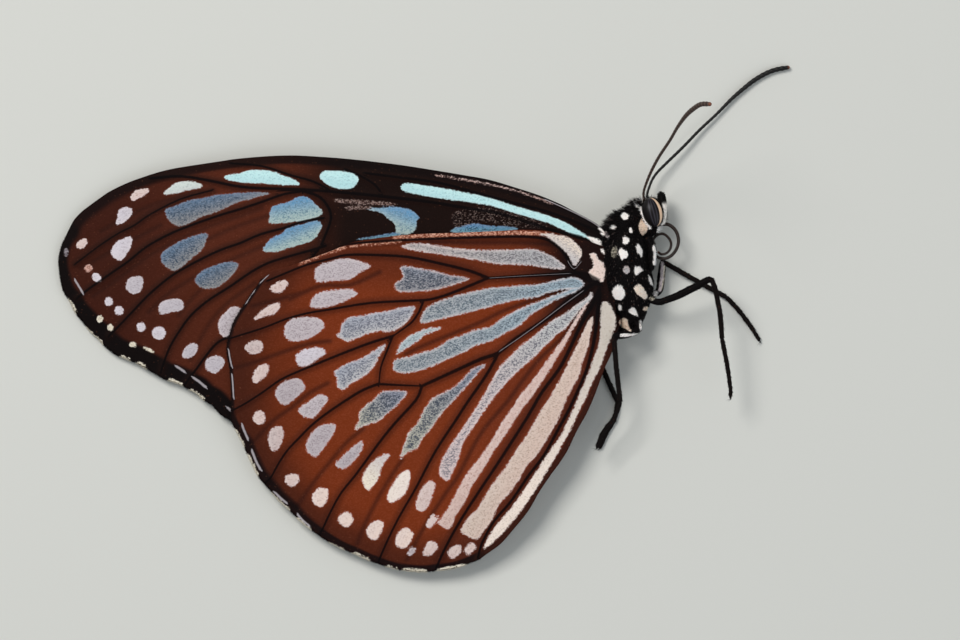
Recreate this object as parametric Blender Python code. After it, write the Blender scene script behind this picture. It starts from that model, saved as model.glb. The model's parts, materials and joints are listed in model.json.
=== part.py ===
"""A tiger butterfly kept as a dry specimen: its wings are closed over its back and it lies on its left side.

The side view is laid out on a drawing grid. Grid x runs towards the head and grid y runs down, from the
wings' tips at the left to the feelers at the top right. Heights are in millimetres above the surface that
the insect lies on, and +Z is its right side, which faces up.
"""

import math

import bmesh
import bpy
import numpy as np
from mathutils import Matrix, Vector

# Driving dimensions, in millimetres
FOREWING_LENGTH = 47.2
WING_THICKNESS = 0.14
PLEAT_HEIGHT = 0.05
BODY_HEIGHT = 2.2
SEAM_GAP = 0.05

# The drawing grid: the forewing is 543 squares long
FOREWING_SQUARES = 543.0
SQUARES_PER_MM = FOREWING_SQUARES / FOREWING_LENGTH
GRID_CENTRE = (424.39, 318.10)
METRES_PER_MM = 0.001

# How the closed wings lie: highest at their roots, lowest at their tips, and bowed between
ROOT = (600.0, 262.0)
FALL_TO_TIP = 0.0378
FALL_ACROSS = 0.0456
FALL_ROUNDING = 3.3
BOW_HEIGHT = 0.5
BOW_REACH = 22.5
FLARE_HEIGHT = 0.85
FLARE_WIDTH = 5.0
FOREWING_OFFSET = 0.20
HINDWING_OFFSET = 0.55
BODY_LINE = ((644, 219), (628, 270), (612, 322), (515, 490))

# Wing edges, in grid squares, each from the root outwards or from the wing's tip to its rear corner
FOREWING_FRONT = ((612, 243), (600, 227), (570, 209.5), (530, 191.5), (490, 181), (430, 169.5),
                  (370, 160.5), (290, 156), (230, 159.5), (170, 169.5), (130, 180), (100, 195),
                  (80, 213), (68, 231))
FOREWING_OUTER = ((68, 231), (60, 250), (59, 270), (64, 291), (75, 312), (89, 331), (105, 346),
                  (122, 357), (140, 365), (160, 376), (180, 385), (200, 397), (228, 419), (245, 432))
FOREWING_REAR = ((614, 258), (560, 275), (480, 310), (400, 352), (320, 396), (270, 425), (245, 432))
HINDWING_FRONT = ((610, 249), (583, 238), (560, 232), (520, 229), (480, 232), (420, 234.5),
                  (370, 241), (330, 248), (300, 258), (275, 269), (262, 279))
HINDWING_OUTER = ((262, 279), (248, 297), (237, 316), (230, 336), (229, 360), (232, 395), (233, 425),
                  (247, 457), (270, 491), (300, 521), (340, 548), (368, 560), (400, 570), (435, 571),
                  (460, 567), (480, 559))
HINDWING_REAR = ((614, 298), (617, 318), (611, 345), (600, 373), (590, 400), (575, 432), (560, 461),
                 (542, 490), (522, 520), (505, 540), (480, 559))
WING_ROWS = 22
WING_COLUMNS = 14

# The thorax: the line down its middle from the neck, and its half sizes at each point of that line
THORAX_LINE = ((643, 212), (636, 220), (627, 233), (624, 250), (625, 270), (629, 292), (630, 312),
               (630, 328), (629, 336))
THORAX_DEPTHS = (0.80, 1.62, 2.00, 2.04, 2.17, 2.17, 1.50, 0.95, 0.45)
THORAX_HEIGHTS = (0.85, 1.60, 2.20, 2.50, 2.55, 2.45, 1.75, 1.05, 0.50)

# The abdomen
ABDOMEN_START = (617, 312)
ABDOMEN_TAIL = (517, 487)
ABDOMEN_RADIUS = 1.08
ABDOMEN_CREASE = 0.94
ABDOMEN_RINGS = 7

# The head, its eyes, palps and tongue
HEAD_LINE = ((651.5, 230.5), (649, 223.5), (650, 214.5), (653.5, 206), (656, 200))
HEAD_DEPTHS = (0.85, 1.25, 1.38, 1.15, 0.55)
HEAD_HEIGHTS = (0.80, 1.20, 1.32, 1.10, 0.50)
EYE_CENTRE = (652.5, 212.5)
EYE_HALF_SIZES = (0.86, 1.26, 0.78)
EYE_LEAN = math.radians(14)
EYE_FROM_MIDDLE = 0.98
PALP_LINE = ((655, 222, 0.35), (662.5, 222, 0.55), (664.5, 213, 0.55), (663.4, 204, 0.55),
             (661.2, 192.5, 0.55))
PALP_RADII = (0.16, 0.24, 0.26, 0.27, 0.12)
TONGUE_LINE = ((653.5, 216.5), (656.5, 221.5), (661, 224.3), (667.7, 224.4), (673.5, 228), (677.3, 234),
               (678.5, 241.5), (676.5, 249), (672, 255), (666, 258.3), (659.5, 258), (654, 254),
               (651.8, 247), (653, 240), (657, 235.3), (662.5, 233.8), (667.3, 236.5), (670.8, 242),
               (670.4, 248.4), (666.6, 253), (661.5, 254.2), (657.6, 251.6))
TONGUE_POINTS = 44
TONGUE_ROOT_RADIUS = 0.17
TONGUE_TIP_RADIUS = 0.10

# The feelers, as (grid x, grid y, height) points, and their radii in the shaft and the club
RIGHT_ANTENNA = ((644, 205, 2.7), (643.3, 193.2, 3.3), (645.7, 183.9, 4.2), (650.8, 171.2, 5.4), (657.9, 157.6, 7.0),
                 (667.9, 142.1, 9.2), (674.8, 129.8, 11.0), (682.8, 118.7, 12.8), (690.8, 111.8, 14.3),
                 (696.8, 108.9, 15.3), (705.5, 109.3, 16.5))
LEFT_ANTENNA = ((647, 205, 1.7), (647.4, 194.2, 1.5), (649.6, 186.6, 1.4), (652.8, 179, 1.3), (658.2, 171.5, 1.15),
                (668, 161.7, 1.0), (684.2, 146, 0.8), (700.5, 129.2, 0.6), (716.8, 114, 0.47), (733, 97.7, 0.38),
                (745, 87.4, 0.33), (754.7, 79.8, 0.3), (765.6, 73.3, 0.28), (776.4, 69, 0.27), (791, 66.3, 0.27))
ANTENNA_SHAFT = 0.13
ANTENNA_CLUB = 0.215
ANTENNA_TIP_SHARE = 0.75
ANTENNA_POINTS = 20
CLUB_START = 0.55
CLUB_SWELL = 0.3

# The legs, each as the (grid x, grid y, height) points of its femur, tibia and tarsus
LEGS = {
    "right_midleg": (((648, 299, 3.05), (658.2, 302, 3.35), (668.7, 299, 3.6), (678.3, 295.2, 3.85),
                      (687.8, 290.4, 4.1), (697.4, 285.6, 4.35), (705, 281, 4.55), (710, 279.2, 4.6)),
                     ((710, 279.2, 4.6), (713.7, 287, 4.58), (716.8, 301, 4.45), (719.5, 316.2, 4.3),
                      (721.3, 339, 4.1)),
                     ((721.3, 339, 4.1), (723.7, 350.7, 3.95), (726.6, 365, 3.7), (728.5, 377.5, 3.5),
                      (730, 389, 3.3), (730.2, 396.5, 3.15))),
    "left_midleg": (((648, 297, 1.55), (659, 291, 1.25), (661.5, 277, 0.95), (663.3, 261.5, 0.7)),
                    ((663.3, 261.5, 0.7), (695, 279.5, 0.5), (727, 297, 0.32)),
                    ((727, 297, 0.32), (740, 311, 0.27), (752, 327, 0.24), (760, 340, 0.2))),
    "right_hindleg": (((636, 322, 3.0), (638, 329, 3.35), (627, 334, 3.75), (613.5, 336, 4.0)),
                      ((613.5, 336, 4.0), (616, 368, 3.9), (620, 402, 3.5)),
                      ((620, 402, 3.5), (613, 419, 3.2), (603, 432, 2.9), (597, 447, 2.6))),
    "left_hindleg": (((630, 322, 1.5), (622, 330, 0.6), (613, 341, 0.36), (600, 362, 0.36)),
                     ((600, 362, 0.36), (608, 380, 0.34), (618, 402, 0.3)),
                     ((618, 402, 0.3), (615, 419, 0.26), (607, 433, 0.24), (600.5, 448, 0.2))),
}
SEGMENT_RADII = {
    "femur": (0.27, 0.30, 0.33, 0.32, 0.27),
    "tibia": (0.21, 0.22, 0.21),
    "tarsus": (0.19, 0.18, 0.17, 0.12),
}
FORELEG_LINE = ((645, 237, 0.9), (650.2, 243, 0.9), (651.8, 254, 0.9), (651.2, 265, 0.9),
                (649.5, 271.5, 0.8))
FORELEG_RADII = (0.24, 0.33, 0.36, 0.32, 0.16)

# Colours as Blender's linear red, green and blue
BLACK = (0.010, 0.008, 0.008)
DARK_BROWN = (0.045, 0.016, 0.010)
RED_BROWN = (0.150, 0.035, 0.014)
EYE_BROWN = (0.030, 0.022, 0.020)
HORN = (0.060, 0.035, 0.022)


def place(grid_x, grid_y, height):
    """A point in metres from grid squares and a height in millimetres."""
    across = (grid_x - GRID_CENTRE[0]) / SQUARES_PER_MM
    up = (GRID_CENTRE[1] - grid_y) / SQUARES_PER_MM
    return Vector((across, up, height)) * METRES_PER_MM


def smooth_curve(points, count):
    """Evenly spaced points on a smooth curve through the given ones (a Catmull-Rom curve)."""
    knots = np.array(points, float)
    ends = np.vstack([2 * knots[0] - knots[1], knots, 2 * knots[-1] - knots[-2]])
    steps = np.linspace(0, 1, 24, endpoint=False)[:, None]
    runs = []
    for before, start, finish, after in zip(ends, ends[1:], ends[2:], ends[3:]):
        runs.append(0.5 * (2 * start + (finish - before) * steps
                           + (2 * before - 5 * start + 4 * finish - after) * steps ** 2
                           + (3 * start - before - 3 * finish + after) * steps ** 3))
    fine = np.vstack([*runs, knots[-1:]])
    length = np.concatenate([[0], np.cumsum(np.linalg.norm(np.diff(fine, axis=0), axis=1))])
    wanted = np.linspace(0, length[-1], count)
    return np.column_stack([np.interp(wanted, length, fine[:, axis]) for axis in range(fine.shape[1])])


def distance_to_body(grid_x, grid_y):
    """Millimetres from a grid point to the line through the thorax and the abdomen."""
    point = np.array((grid_x, grid_y), float)
    nearest = math.inf
    for start, finish in zip(BODY_LINE, BODY_LINE[1:]):
        first = np.array(start, float)
        run = np.array(finish, float) - first
        along = min(max((point - first) @ run / (run @ run), 0.0), 1.0)
        nearest = min(nearest, float(np.linalg.norm(point - first - along * run)))
    return nearest / SQUARES_PER_MM


def middle_height(grid_x, grid_y):
    """The height of the surface midway between the right and left wings, in millimetres."""
    outward = (ROOT[0] - grid_x) / SQUARES_PER_MM
    down = (grid_y - ROOT[1]) / SQUARES_PER_MM
    fall = FALL_TO_TIP * outward + FALL_ACROSS * (math.hypot(down, FALL_ROUNDING) - FALL_ROUNDING)
    reach = math.hypot(outward, down) / BOW_REACH
    return BODY_HEIGHT - fall + BOW_HEIGHT * (1 - (reach - 1) ** 2)


def wing_height(grid_x, grid_y, side, offset):
    """The height of one wing: offset from the middle surface, and flared where it straddles the body."""
    flare = FLARE_HEIGHT * math.exp(-(distance_to_body(grid_x, grid_y) / FLARE_WIDTH) ** 2)
    return middle_height(grid_x, grid_y) + side * (offset + flare)


def material(name, colour, roughness):
    made = bpy.data.materials.new(name)
    made.use_nodes = True
    shader = made.node_tree.nodes["Principled BSDF"]
    shader.inputs["Base Color"].default_value = (*colour, 1.0)
    shader.inputs["Roughness"].default_value = roughness
    shader.inputs["Metallic"].default_value = 0.0
    made.diffuse_color = (*colour, 1.0)
    return made


def add_object(name, mesh_maker, surface):
    """An object from a filled bmesh, with its normals facing out."""
    mesh = bpy.data.meshes.new(name)
    bmesh.ops.recalc_face_normals(mesh_maker, faces=mesh_maker.faces)
    mesh_maker.to_mesh(mesh)
    mesh_maker.free()
    mesh.materials.append(surface)
    made = bpy.data.objects.new(name, mesh)
    bpy.context.scene.collection.objects.link(made)
    return made


def loft(name, spine, depths, heights, sides, surface):
    """A closed body skinned over oval rings that stand square to its spine.

    Depths are the rings' half sizes level with the ground and heights are their half sizes across it, in
    millimetres. The rings are joined one to the next, and the first and last are filled.
    """
    maker = bmesh.new()
    rings = []
    for index, centre in enumerate(spine):
        before = spine[max(index - 1, 0)]
        after = spine[min(index + 1, len(spine) - 1)]
        along = (after - before).normalized()
        level = Vector((0, 0, 1)).cross(along).normalized()
        upright = along.cross(level)
        ring = []
        for step in range(sides):
            turn = 2 * math.pi * (step + 0.5) / sides
            shift = level * math.cos(turn) * depths[index] + upright * math.sin(turn) * heights[index]
            ring.append(maker.verts.new(centre + shift * METRES_PER_MM))
        rings.append(ring)
    for ring, following in zip(rings, rings[1:]):
        for step in range(sides):
            beyond = (step + 1) % sides
            maker.faces.new((ring[step], ring[beyond], following[beyond], following[step]))
    maker.faces.new(rings[0])
    maker.faces.new(rings[-1])
    return add_object(name, maker, surface)


def round_shading(made):
    made.data.shade_smooth()
    made.data.set_sharp_from_angle(angle=math.radians(50))


def trim(piece, cutter):
    """Takes away the part of a piece that would stand inside its neighbour."""
    cut = piece.modifiers.new("fit against neighbour", "BOOLEAN")
    cut.operation = "DIFFERENCE"
    cut.solver = "EXACT"
    cut.object = cutter


def as_cutter(made):
    made.hide_render = True
    made.display_type = "WIRE"
    return made


def lengthened(spine, extra):
    """The same spine, a little longer at each end."""
    first = (spine[0] - spine[1]).normalized() * extra * METRES_PER_MM
    last = (spine[-1] - spine[-2]).normalized() * extra * METRES_PER_MM
    return [spine[0] + first, *spine[1:-1], spine[-1] + last]


def body_with_cutter(name, spine, depths, heights, sides, surface):
    """A lofted body, and a hidden copy that is larger all over by the seam gap."""
    made = loft(name, spine, depths, heights, sides, surface)
    round_shading(made)
    larger = loft(name + "_cutter", lengthened(spine, SEAM_GAP), [d + SEAM_GAP for d in depths],
                  [h + SEAM_GAP for h in heights], sides, surface)
    return made, as_cutter(larger)


def edge_blend(front, rear, root, outer):
    """A grid of points inside four edges (a Coons patch), as an array of rows by columns by 2."""
    rows, columns = len(front), len(root)
    along = np.linspace(0, 1, rows)[:, None, None]
    across = np.linspace(0, 1, columns)[None, :, None]
    between_long = (1 - across) * front[:, None] + across * rear[:, None]
    between_short = (1 - along) * root[None] + along * outer[None]
    corners = ((1 - along) * ((1 - across) * front[0] + across * rear[0])
               + along * ((1 - across) * front[-1] + across * rear[-1]))
    return between_long + between_short - corners


def wing(name, edges, side, offset, surface):
    """A thin pleated sheet: every second line from root to margin stands proud, as its veins do."""
    front, outer, rear = edges
    root = smooth_curve((front[0], rear[0]), WING_COLUMNS)
    points = edge_blend(smooth_curve(front, WING_ROWS), smooth_curve(rear, WING_ROWS), root,
                        smooth_curve(outer, WING_COLUMNS))
    maker = bmesh.new()
    sheet = []
    for row in points:
        line = []
        for column, (grid_x, grid_y) in enumerate(row):
            pleat = PLEAT_HEIGHT * (1 if column % 2 else -1)
            height = wing_height(grid_x, grid_y, side, offset) + side * pleat
            line.append(maker.verts.new(place(grid_x, grid_y, height)))
        sheet.append(line)
    for line, following in zip(sheet, sheet[1:]):
        for column in range(WING_COLUMNS - 1):
            maker.faces.new((line[column], line[column + 1], following[column + 1], following[column]))
    made = add_object(name, maker, surface)
    thickness = made.modifiers.new("membrane", "SOLIDIFY")
    thickness.thickness = WING_THICKNESS * METRES_PER_MM
    thickness.offset = 0.0
    return made


def level_spine(points):
    """Spine points from (grid x, grid y, height) triples."""
    return [place(*point) for point in points]


def flattened(made, floor):
    """Presses every point that lies under the floor up onto it, which leaves a flat patch."""
    for vertex in made.data.vertices:
        vertex.co.z = max(vertex.co.z, floor * METRES_PER_MM)


def make_thorax(surface):
    """The barrel that carries the wings and the legs, with a flat flank where it lies."""
    spine = level_spine([(x, y, BODY_HEIGHT) for x, y in THORAX_LINE])
    made, cutter = body_with_cutter("thorax", spine, THORAX_DEPTHS, THORAX_HEIGHTS, 24, surface)
    flattened(made, 0.0)
    return cutter


def make_abdomen(surface, thorax_cutter):
    """Rings that narrow towards the tail, between the hindwings."""
    spine = []
    radii = []
    stations = 2 * ABDOMEN_RINGS + 1
    for step in range(stations):
        along = step / (stations - 1)
        grid_x = ABDOMEN_START[0] + (ABDOMEN_TAIL[0] - ABDOMEN_START[0]) * along
        grid_y = ABDOMEN_START[1] + (ABDOMEN_TAIL[1] - ABDOMEN_START[1]) * along
        spine.append(place(grid_x, grid_y, middle_height(grid_x, grid_y)))
        swelling = math.sin(math.pi * (0.18 + 0.76 * along)) ** 0.55
        crease = ABDOMEN_CREASE if step % 2 == 0 else 1.0
        radii.append(ABDOMEN_RADIUS * swelling * crease)
    made = loft("abdomen", spine, radii, radii, 14, surface)
    round_shading(made)
    trim(made, thorax_cutter)


def make_head(surface, thorax_cutter):
    spine = level_spine([(x, y, BODY_HEIGHT) for x, y in HEAD_LINE])
    made, cutter = body_with_cutter("head", spine, HEAD_DEPTHS, HEAD_HEIGHTS, 16, surface)
    trim(made, thorax_cutter)
    return cutter


def make_eye(name, side, surface, head_cutter):
    """A tall dome on the side of the head."""
    maker = bmesh.new()
    bmesh.ops.create_uvsphere(maker, u_segments=16, v_segments=10, radius=METRES_PER_MM)
    centre = place(*EYE_CENTRE, BODY_HEIGHT + side * EYE_FROM_MIDDLE)
    bmesh.ops.scale(maker, verts=maker.verts, vec=EYE_HALF_SIZES)
    bmesh.ops.rotate(maker, verts=maker.verts, matrix=Matrix.Rotation(EYE_LEAN, 3, "Z"))
    bmesh.ops.translate(maker, verts=maker.verts, vec=centre)
    made = add_object(name, maker, surface)
    round_shading(made)
    trim(made, head_cutter)


def make_antenna(name, route, surface, head_cutter):
    """A thin feeler whose last part swells into a slender club."""
    radii = []
    for step in range(ANTENNA_POINTS):
        along = step / (ANTENNA_POINTS - 1)
        swelling = min(max((along - CLUB_START) / CLUB_SWELL, 0.0), 1.0)
        rounded = swelling * swelling * (3 - 2 * swelling)
        radii.append(ANTENNA_SHAFT + (ANTENNA_CLUB - ANTENNA_SHAFT) * rounded)
    radii[-1] *= ANTENNA_TIP_SHARE
    made = loft(name, level_spine(smooth_curve(route, ANTENNA_POINTS)), radii, radii, 6, surface)
    round_shading(made)
    trim(made, head_cutter)


def make_palp(name, side, surface, head_cutter):
    """A short feeler that stands up in front of the face."""
    spine = level_spine([(x, y, BODY_HEIGHT + side * out) for x, y, out in PALP_LINE])
    made = loft(name, spine, PALP_RADII, PALP_RADII, 8, surface)
    round_shading(made)
    trim(made, head_cutter)


def make_proboscis(surface, head_cutter):
    """A coiled sucking tube: an oval coil that closes in over nearly two turns."""
    points = smooth_curve([(x, y, BODY_HEIGHT) for x, y in TONGUE_LINE], TONGUE_POINTS)
    radii = np.linspace(TONGUE_ROOT_RADIUS, TONGUE_TIP_RADIUS, len(points)).tolist()
    made = loft("proboscis", level_spine(points), radii, radii, 6, surface)
    round_shading(made)
    trim(made, head_cutter)


def radii_for(segment, count):
    """The segment's radii, read off evenly at this many points."""
    given = SEGMENT_RADII[segment]
    return np.interp(np.linspace(0, len(given) - 1, count), range(len(given)), given).tolist()


def make_limb(name, spine, radii, surface, neighbour):
    """A tapered tube that is cut back where it meets its neighbour. It gives its own cutter."""
    made, cutter = body_with_cutter(name, spine, radii, radii, 8, surface)
    trim(made, neighbour)
    return cutter


def make_legs(surface, thorax_cutter):
    for leg, segments in LEGS.items():
        neighbour = thorax_cutter
        for segment, points in zip(SEGMENT_RADII, segments):
            radii = radii_for(segment, len(points))
            neighbour = make_limb(f"{leg}_{segment}", level_spine(points), radii, surface, neighbour)


def make_forelegs(surface, thorax_cutter):
    """The small front legs, which are folded flat against the chest."""
    for name, side in (("right_foreleg", 1), ("left_foreleg", -1)):
        spine = level_spine([(x, y, BODY_HEIGHT + side * out) for x, y, out in FORELEG_LINE])
        make_limb(name, spine, FORELEG_RADII, surface, thorax_cutter)


def make_wings(forewing_surface, hindwing_surface, thorax_cutter):
    forewing = (FOREWING_FRONT, FOREWING_OUTER, FOREWING_REAR)
    hindwing = (HINDWING_FRONT, HINDWING_OUTER, HINDWING_REAR)
    for side_name, side in (("right", 1), ("left", -1)):
        made = wing(f"{side_name}_forewing", forewing, side, FOREWING_OFFSET, forewing_surface)
        trim(made, thorax_cutter)
        made = wing(f"{side_name}_hindwing", hindwing, side, HINDWING_OFFSET, hindwing_surface)
        trim(made, thorax_cutter)


def main():
    for old in list(bpy.data.objects):
        bpy.data.objects.remove(old)
    black = material("black scales", BLACK, 0.6)
    forewing_surface = material("dark brown wing", DARK_BROWN, 0.55)
    hindwing_surface = material("red brown wing", RED_BROWN, 0.55)
    eye_surface = material("eye", EYE_BROWN, 0.25)
    horn = material("horn", HORN, 0.35)

    thorax_cutter = make_thorax(black)
    make_abdomen(black, thorax_cutter)
    head_cutter = make_head(black, thorax_cutter)
    make_antenna("right_antenna", RIGHT_ANTENNA, horn, head_cutter)
    make_antenna("left_antenna", LEFT_ANTENNA, horn, head_cutter)
    for side_name, side in (("right", 1), ("left", -1)):
        make_eye(f"{side_name}_eye", side, eye_surface, head_cutter)
        make_palp(f"{side_name}_palp", side, black, head_cutter)
    make_proboscis(horn, head_cutter)
    make_legs(black, thorax_cutter)
    make_forelegs(black, thorax_cutter)
    make_wings(forewing_surface, hindwing_surface, thorax_cutter)


main()
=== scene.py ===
# %% [markdown]
# # A tiger butterfly, dried with its wings closed
# The imported model gives the insect's solids at their real size, and this script gives it its looks: the
# patterned wings with their veins and fringes, the furry spotted thorax, the banded eyes, the feelers and
# the thin spiny legs. Nothing is an image. Every mark on the wings is a drawn closed curve, and the
# script works out how far each point of the wing is from it. The materials then turn those distances into
# ragged, scaly edges.

# %% Load the fixed frame and start a clean stage
import json
import math

import bpy
import numpy as np
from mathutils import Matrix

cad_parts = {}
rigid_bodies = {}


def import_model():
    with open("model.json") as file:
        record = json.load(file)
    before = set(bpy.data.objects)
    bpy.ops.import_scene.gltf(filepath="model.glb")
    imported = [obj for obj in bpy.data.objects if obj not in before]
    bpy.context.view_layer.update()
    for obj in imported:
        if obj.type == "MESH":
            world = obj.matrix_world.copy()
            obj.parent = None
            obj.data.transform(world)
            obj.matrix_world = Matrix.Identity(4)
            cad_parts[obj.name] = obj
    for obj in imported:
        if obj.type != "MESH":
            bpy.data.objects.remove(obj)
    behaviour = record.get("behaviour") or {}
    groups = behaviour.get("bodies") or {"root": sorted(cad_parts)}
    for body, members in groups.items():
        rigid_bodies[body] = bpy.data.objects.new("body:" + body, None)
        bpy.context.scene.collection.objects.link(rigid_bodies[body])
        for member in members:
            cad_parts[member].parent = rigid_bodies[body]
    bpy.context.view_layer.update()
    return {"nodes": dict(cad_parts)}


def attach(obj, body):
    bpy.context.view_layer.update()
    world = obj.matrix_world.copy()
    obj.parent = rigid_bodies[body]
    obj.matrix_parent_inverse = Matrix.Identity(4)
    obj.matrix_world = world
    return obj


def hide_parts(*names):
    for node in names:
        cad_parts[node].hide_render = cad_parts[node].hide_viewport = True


for old in list(bpy.data.objects):
    bpy.data.objects.remove(old)
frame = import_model()
print("nodes in the frame:", len(frame["nodes"]))

# %% [markdown]
# ## The drawing grid
# The wings are drawn on a grid whose x runs towards the head and whose y runs down. The forewing is 543
# squares long and 47.2 mm long, which gives the scale. The grid's centre is the middle of the frame's box.
# Shapes on the grid are arrays of points, and heights are in millimetres above the surface that the insect
# lies on. The closed wings fall from the root to the tips, bow a little on the way and flare at the body.

# %% The grid's scale and the heights of the folded wings
MM = 0.001
FOREWING_MM = 47.2
FOREWING_SQUARES = 543.0
SQUARES = FOREWING_SQUARES / FOREWING_MM
GRID_CENTRE = np.array((424.39, 318.10))
MIDDLE = 2.2
REST = 0.01  # the least height of any point, so that nothing sinks into the floor
OUT_SLOPE, DOWN_SLOPE, DOWN_BEND = 0.0378, 0.0456, 3.3
BOW, BOW_REACH = 0.5, 22.5
FLARE, FLARE_REACH = 0.85, 5.0
SIDES = (("right", 1), ("left", -1))
rng = np.random.default_rng(7)


def to_mm(points):
    """Grid squares to millimetres: x minus the centre, and the centre minus y, over squares per mm."""
    points = np.asarray(points, float)
    return (points - GRID_CENTRE) * (1, -1) / SQUARES


ROOT = to_mm((600.0, 262.0))
BODY_LINE = to_mm(((644, 219), (628, 270), (612, 322), (515, 490)))


def line_distance(points, line):
    """Distance from each point to a broken line: to the nearest point of each straight run, the least."""
    points = np.asarray(points, float)
    best = np.full(len(points), np.inf)
    for start, finish in zip(line[:-1], line[1:]):
        run = finish - start
        along = np.clip(((points - start) @ run) / max(run @ run, 1e-12), 0, 1)
        best = np.minimum(best, np.linalg.norm(points - start - along[:, None] * run, axis=1))
    return best


def line_side(points, line):
    """Distance to a broken line, +1 on its left or -1 on its right, and the share of the line passed there."""
    best = np.full(len(points), np.inf)
    side, place = np.ones(len(points)), np.zeros(len(points))
    for number, (start, finish) in enumerate(zip(line[:-1], line[1:])):
        run, away = finish - start, points - start
        along = np.clip((away @ run) / max(run @ run, 1e-12), 0, 1)
        distance = np.linalg.norm(away - along[:, None] * run, axis=1)
        nearer = distance < best
        best[nearer] = distance[nearer]
        side[nearer] = np.sign(run[0] * away[:, 1] - run[1] * away[:, 0])[nearer]
        place[nearer] = (number + along[nearer]) / (len(line) - 1)
    return best, side, place


def middle_height(points):
    """Height midway between right and left wings: a tilted plane from root to tips, plus a shallow bow."""
    out = ROOT[0] - points[:, 0]
    down = ROOT[1] - points[:, 1]
    fall = OUT_SLOPE * out + DOWN_SLOPE * (np.hypot(down, DOWN_BEND) - DOWN_BEND)
    reach = np.hypot(out, down) / BOW_REACH
    return MIDDLE - fall + BOW * (1 - (reach - 1) ** 2)


def wing_height(points, side, offset):
    """Middle height plus the wing's own offset, and a flare where the wings straddle the body."""
    flare = FLARE * np.exp(-(line_distance(points, BODY_LINE) / FLARE_REACH) ** 2)
    return middle_height(points) + side * (offset + flare)


print("squares per mm:", round(SQUARES, 3), " wing root in mm:", ROOT.round(2))

# %% [markdown]
# ## Smooth curves and distances
# A drawn outline holds only a few points. The curve used here passes through all of them and bends smoothly
# between them, so it suits marks, veins and edges alike.

# %% Curves through points, and signed distance to a closed curve


def smooth(points, per_run=6, closed=False):
    """Each run is a cubic whose slope at a point is half the step between that point's neighbours."""
    knots = np.asarray(points, float)
    if closed:
        ends = np.vstack([knots[-1], knots, knots[0], knots[1]])
    else:
        ends = np.vstack([2 * knots[0] - knots[1], knots, 2 * knots[-1] - knots[-2]])
    a, b, c, d = ends[:-3, None], ends[1:-2, None], ends[2:-1, None], ends[3:, None]
    t = np.linspace(0, 1, per_run, endpoint=False)[None, :, None]
    runs = 0.5 * (2 * b + (c - a) * t + (2 * a - 5 * b + 4 * c - d) * t ** 2 + (3 * b - a - 3 * c + d) * t ** 3)
    fine = runs.reshape(-1, knots.shape[1])
    return fine if closed else np.vstack([fine, knots[-1:]])


def even(points, count):
    """The same curve with evenly spaced points, found by running along its length."""
    length = np.concatenate([[0], np.cumsum(np.linalg.norm(np.diff(points, axis=0), axis=1))])
    wanted = np.linspace(0, length[-1], count)
    return np.column_stack([np.interp(wanted, length, points[:, axis]) for axis in range(points.shape[1])])


def inside(points, outline):
    """Even-odd rule: a point is inside where a ray to its right crosses the outline an odd number of times."""
    x, y = points[:, 0:1], points[:, 1:2]
    ax, ay = outline[None, :, 0], outline[None, :, 1]
    following = np.roll(outline, -1, axis=0)
    bx, by = following[None, :, 0], following[None, :, 1]
    spans = (ay > y) != (by > y)
    rise = np.where(by == ay, 1e-12, by - ay)
    return (spans & (x < (bx - ax) * (y - ay) / rise + ax)).sum(axis=1) % 2 == 1


FAR = 1.2  # the greatest distance in mm outside a mark that is told apart


def depth_in(points, outline):
    """Signed distance: positive inside the closed outline, negative outside, and never below minus FAR."""
    low, high = outline.min(axis=0) - FAR, outline.max(axis=0) + FAR
    near = np.all((points > low) & (points < high), axis=1)
    depth = np.full(len(points), -FAR)
    if near.any():
        close = points[near]
        distance = line_distance(close, np.vstack([outline, outline[:1]]))
        depth[near] = np.maximum(np.where(inside(close, outline), distance, -distance), -FAR)
    return depth


print("a unit square holds its centre at depth", depth_in(np.array([[0.5, 0.5]]),
      np.array([[0, 0], [1, 0], [1, 1], [0, 1]], float)))
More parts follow.
